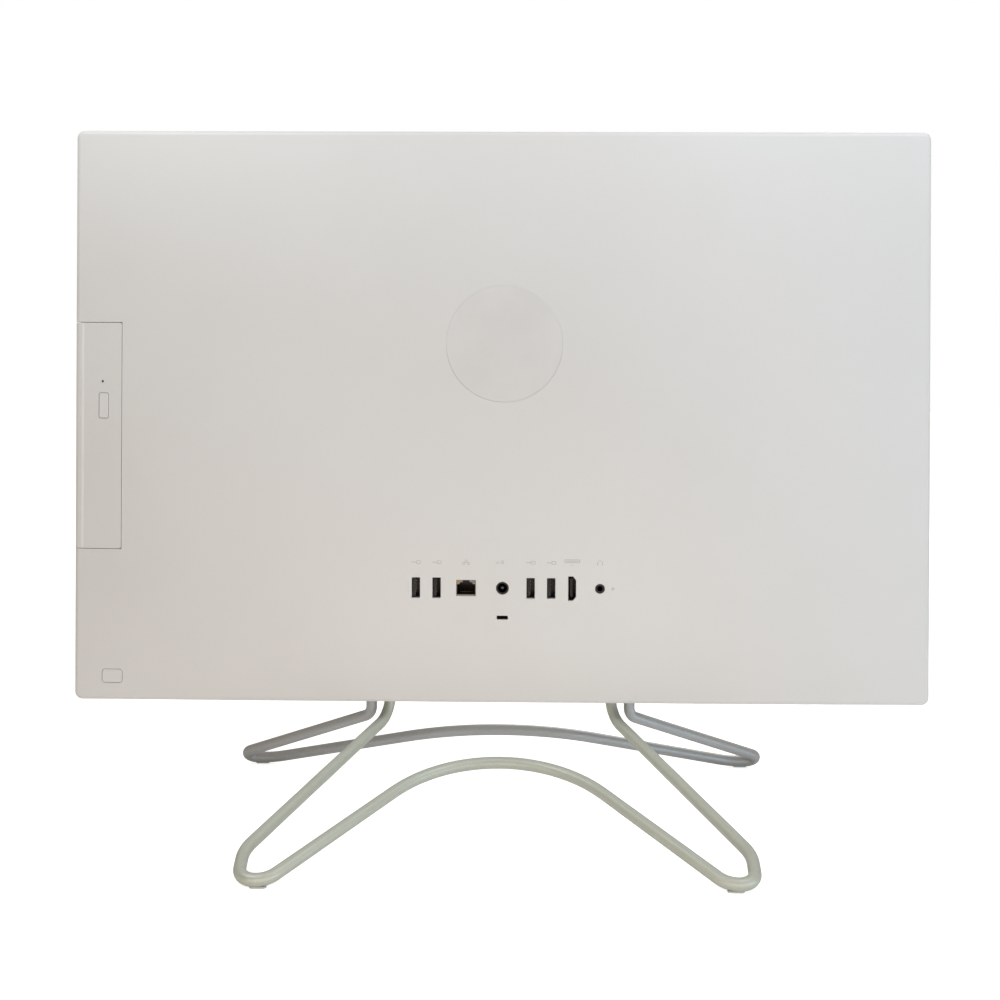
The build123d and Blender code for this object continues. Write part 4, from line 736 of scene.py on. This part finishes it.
def make_video_contacts():
    """A row of fine contacts down each side of the video tongue."""
    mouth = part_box("video_tongue")[1].y
    middle = middle_of("video_tongue")
    count = 10
    pitch = 1.0 * MM
    half_w = 0.2 * MM
    sides = ((-0.38 * MM, -0.27 * MM), (0.77 * MM, 0.88 * MM))
    back = mouth - 6.0 * MM
    front = mouth - 2.4 * MM

    def build(shape):
        for i in range(count):
            z = middle.z + (i - (count - 1) / 2) * pitch
            for x0, x1 in sides:
                block(shape, (middle.x + x0, back, z - half_w), (middle.x + x1, front, z + half_w))

    new_piece("video_contacts", build, GOLD, "head")


def make_webcam_lens():
    """A small domed glass lens in the hole over the screen."""
    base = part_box("webcam_module")[0].y
    centre = middle_of("webcam_module")
    radius = 1.15 * MM
    crown = 0.35 * MM
    rings = 8
    around = 32

    def build(shape):
        top = shape.verts.new((centre.x, base - crown, centre.z))
        rows = []
        for i in range(1, rings + 1):
            share = i / rings
            y = base - crown * (1 - share ** 2)
            points = circle_points(centre.x, centre.z, radius * share, count=around)[:-1]
            rows.append([shape.verts.new((x, y, z)) for x, z in points])
        for k in range(around):
            shape.faces.new((top, rows[0][k], rows[0][(k + 1) % around]))
        for inner, outer in zip(rows, rows[1:]):
            for k in range(around):
                after = (k + 1) % around
                shape.faces.new((inner[k], outer[k], outer[after], inner[after]))
        shape.faces.new(list(reversed(rows[-1])))

    lens = new_piece("webcam_lens", build, GLASS, "head")
    for face in lens.data.polygons:
        face.use_smooth = True


# ---------------------------------------------------------------- studio
FLOOR_SIZE = 12.0
FLOOR_GLOW = 0.75
STUDIO_COLOR = (1.0, 0.86, 0.71)
STUDIO_STRENGTH = 0.4
WHITE_LIGHT = (1.0, 1.0, 1.0)
CAMERA_PLACE = (-0.0083, 0.738, 0.2756)
CAMERA_TURN = 0.012
CAMERA_ROLL = 0.0045
CAMERA_LENS = 44.23
CAMERA_SHIFT_Y = -0.14
SENSOR = 36.0
# Name, place, target, width and height, power in watts, and colour.
SOFTBOXES = (
    ("upper_left", (0.32, 0.22, 0.72), (0.15, -0.03, 0.35), (0.3, 0.15), 1.17, (0.84, 0.922, 1.0)),
    ("upper_right", (-0.32, 0.22, 0.72), (-0.15, -0.03, 0.35), (0.3, 0.15), 1.12, (0.793, 0.887, 1.0)),
    ("lower_right", (-0.75, 0.5, 0.12), (-0.1, 0.0, 0.15), (0.4, 0.2), 1.42, (0.58, 0.79, 1.0)),
    ("low_strip", (0.0, 0.3, 0.04), (0.0, 0.0, 0.04), (0.5, 0.04), 0.24, (1.0, 0.87, 0.76)),
    ("front_softbox", (-0.4, -1.2, 0.9), (0.0, 0.0, 0.2), (1.0, 0.7), 7.5, (0.93, 0.97, 1.0)),
)


def make_floor():
    """A plain pale floor, seen a little lit from within, so that it stays an even near-white."""
    recipe = Recipe("pale_floor", (0.9, 0.9, 0.9), 0.7)
    recipe.colour(recipe.ranged(recipe.noise(3.0, 3.0), 0.3, 0.7), (0.905, 0.905, 0.9), (0.92, 0.92, 0.92))
    recipe.sheen(recipe.noise(8.0, 3.0), 0.62, 0.75)
    recipe.set("Emission Color", (*WHITE_LIGHT, 1.0))
    ray = recipe.add("ShaderNodeLightPath")
    recipe.link(recipe.math("MULTIPLY", ray.outputs["Is Camera Ray"], FLOOR_GLOW),
                recipe.shader.inputs["Emission Strength"])
    mesh = bpy.data.meshes.new("floor")
    shape = bmesh.new()
    bmesh.ops.create_grid(shape, x_segments=1, y_segments=1, size=FLOOR_SIZE / 2)
    shape.to_mesh(mesh)
    shape.free()
    mesh.materials.append(recipe.material)
    floor = bpy.data.objects.new("floor", mesh)
    bpy.context.scene.collection.objects.link(floor)


def make_world():
    """An even studio. Its backdrop looks white, and the light it sheds is warmer and weaker."""
    world = bpy.data.worlds.new("studio")
    bpy.context.scene.world = world
    world.use_nodes = True
    nodes = world.node_tree.nodes
    links = world.node_tree.links
    nodes.clear()
    shed = nodes.new("ShaderNodeBackground")
    shed.inputs["Color"].default_value = (*STUDIO_COLOR, 1.0)
    shed.inputs["Strength"].default_value = STUDIO_STRENGTH
    seen = nodes.new("ShaderNodeBackground")
    seen.inputs["Color"].default_value = (*WHITE_LIGHT, 1.0)
    seen.inputs["Strength"].default_value = 1.0
    ray = nodes.new("ShaderNodeLightPath")
    mix = nodes.new("ShaderNodeMixShader")
    out = nodes.new("ShaderNodeOutputWorld")
    links.new(ray.outputs["Is Camera Ray"], mix.inputs["Fac"])
    links.new(shed.outputs["Background"], mix.inputs[1])
    links.new(seen.outputs["Background"], mix.inputs[2])
    links.new(mix.outputs["Shader"], out.inputs["Surface"])


def aimed(obj, place, target):
    obj.location = place
    direction = Vector(target) - Vector(place)
    obj.rotation_mode = "QUATERNION"
    obj.rotation_quaternion = direction.to_track_quat("-Z", "Y")


def make_softbox(name, place, target, size, energy, color):
    light = bpy.data.lights.new(name, "AREA")
    light.shape = "RECTANGLE"
    light.size, light.size_y = size
    light.energy = energy
    light.color = color
    lamp = bpy.data.objects.new(name, light)
    lamp.visible_camera = False
    aimed(lamp, place, target)
    bpy.context.scene.collection.objects.link(lamp)


def make_camera():
    data = bpy.data.cameras.new("camera")
    data.sensor_width = SENSOR
    data.lens = CAMERA_LENS
    data.shift_y = CAMERA_SHIFT_Y
    data.clip_start = 0.01
    data.clip_end = 60.0
    camera = bpy.data.objects.new("camera", data)
    camera.location = CAMERA_PLACE
    level = Matrix.Rotation(math.pi + CAMERA_TURN, 3, "Z") @ Matrix.Rotation(math.pi / 2, 3, "X")
    camera.rotation_mode = "QUATERNION"
    camera.rotation_quaternion = (level @ Matrix.Rotation(CAMERA_ROLL, 3, "Z")).to_quaternion()
    bpy.context.scene.collection.objects.link(camera)
    bpy.context.scene.camera = camera


finish_nodes()
make_marks()
make_emblem_rings()
make_door_ridge()
make_usb_contacts()
make_video_contacts()
make_webcam_lens()
make_floor()
make_world()
for softbox in SOFTBOXES:
    make_softbox(*softbox)
make_camera()
bpy.context.scene.view_settings.view_transform = "Standard"
bpy.context.scene.view_settings.look = "None"
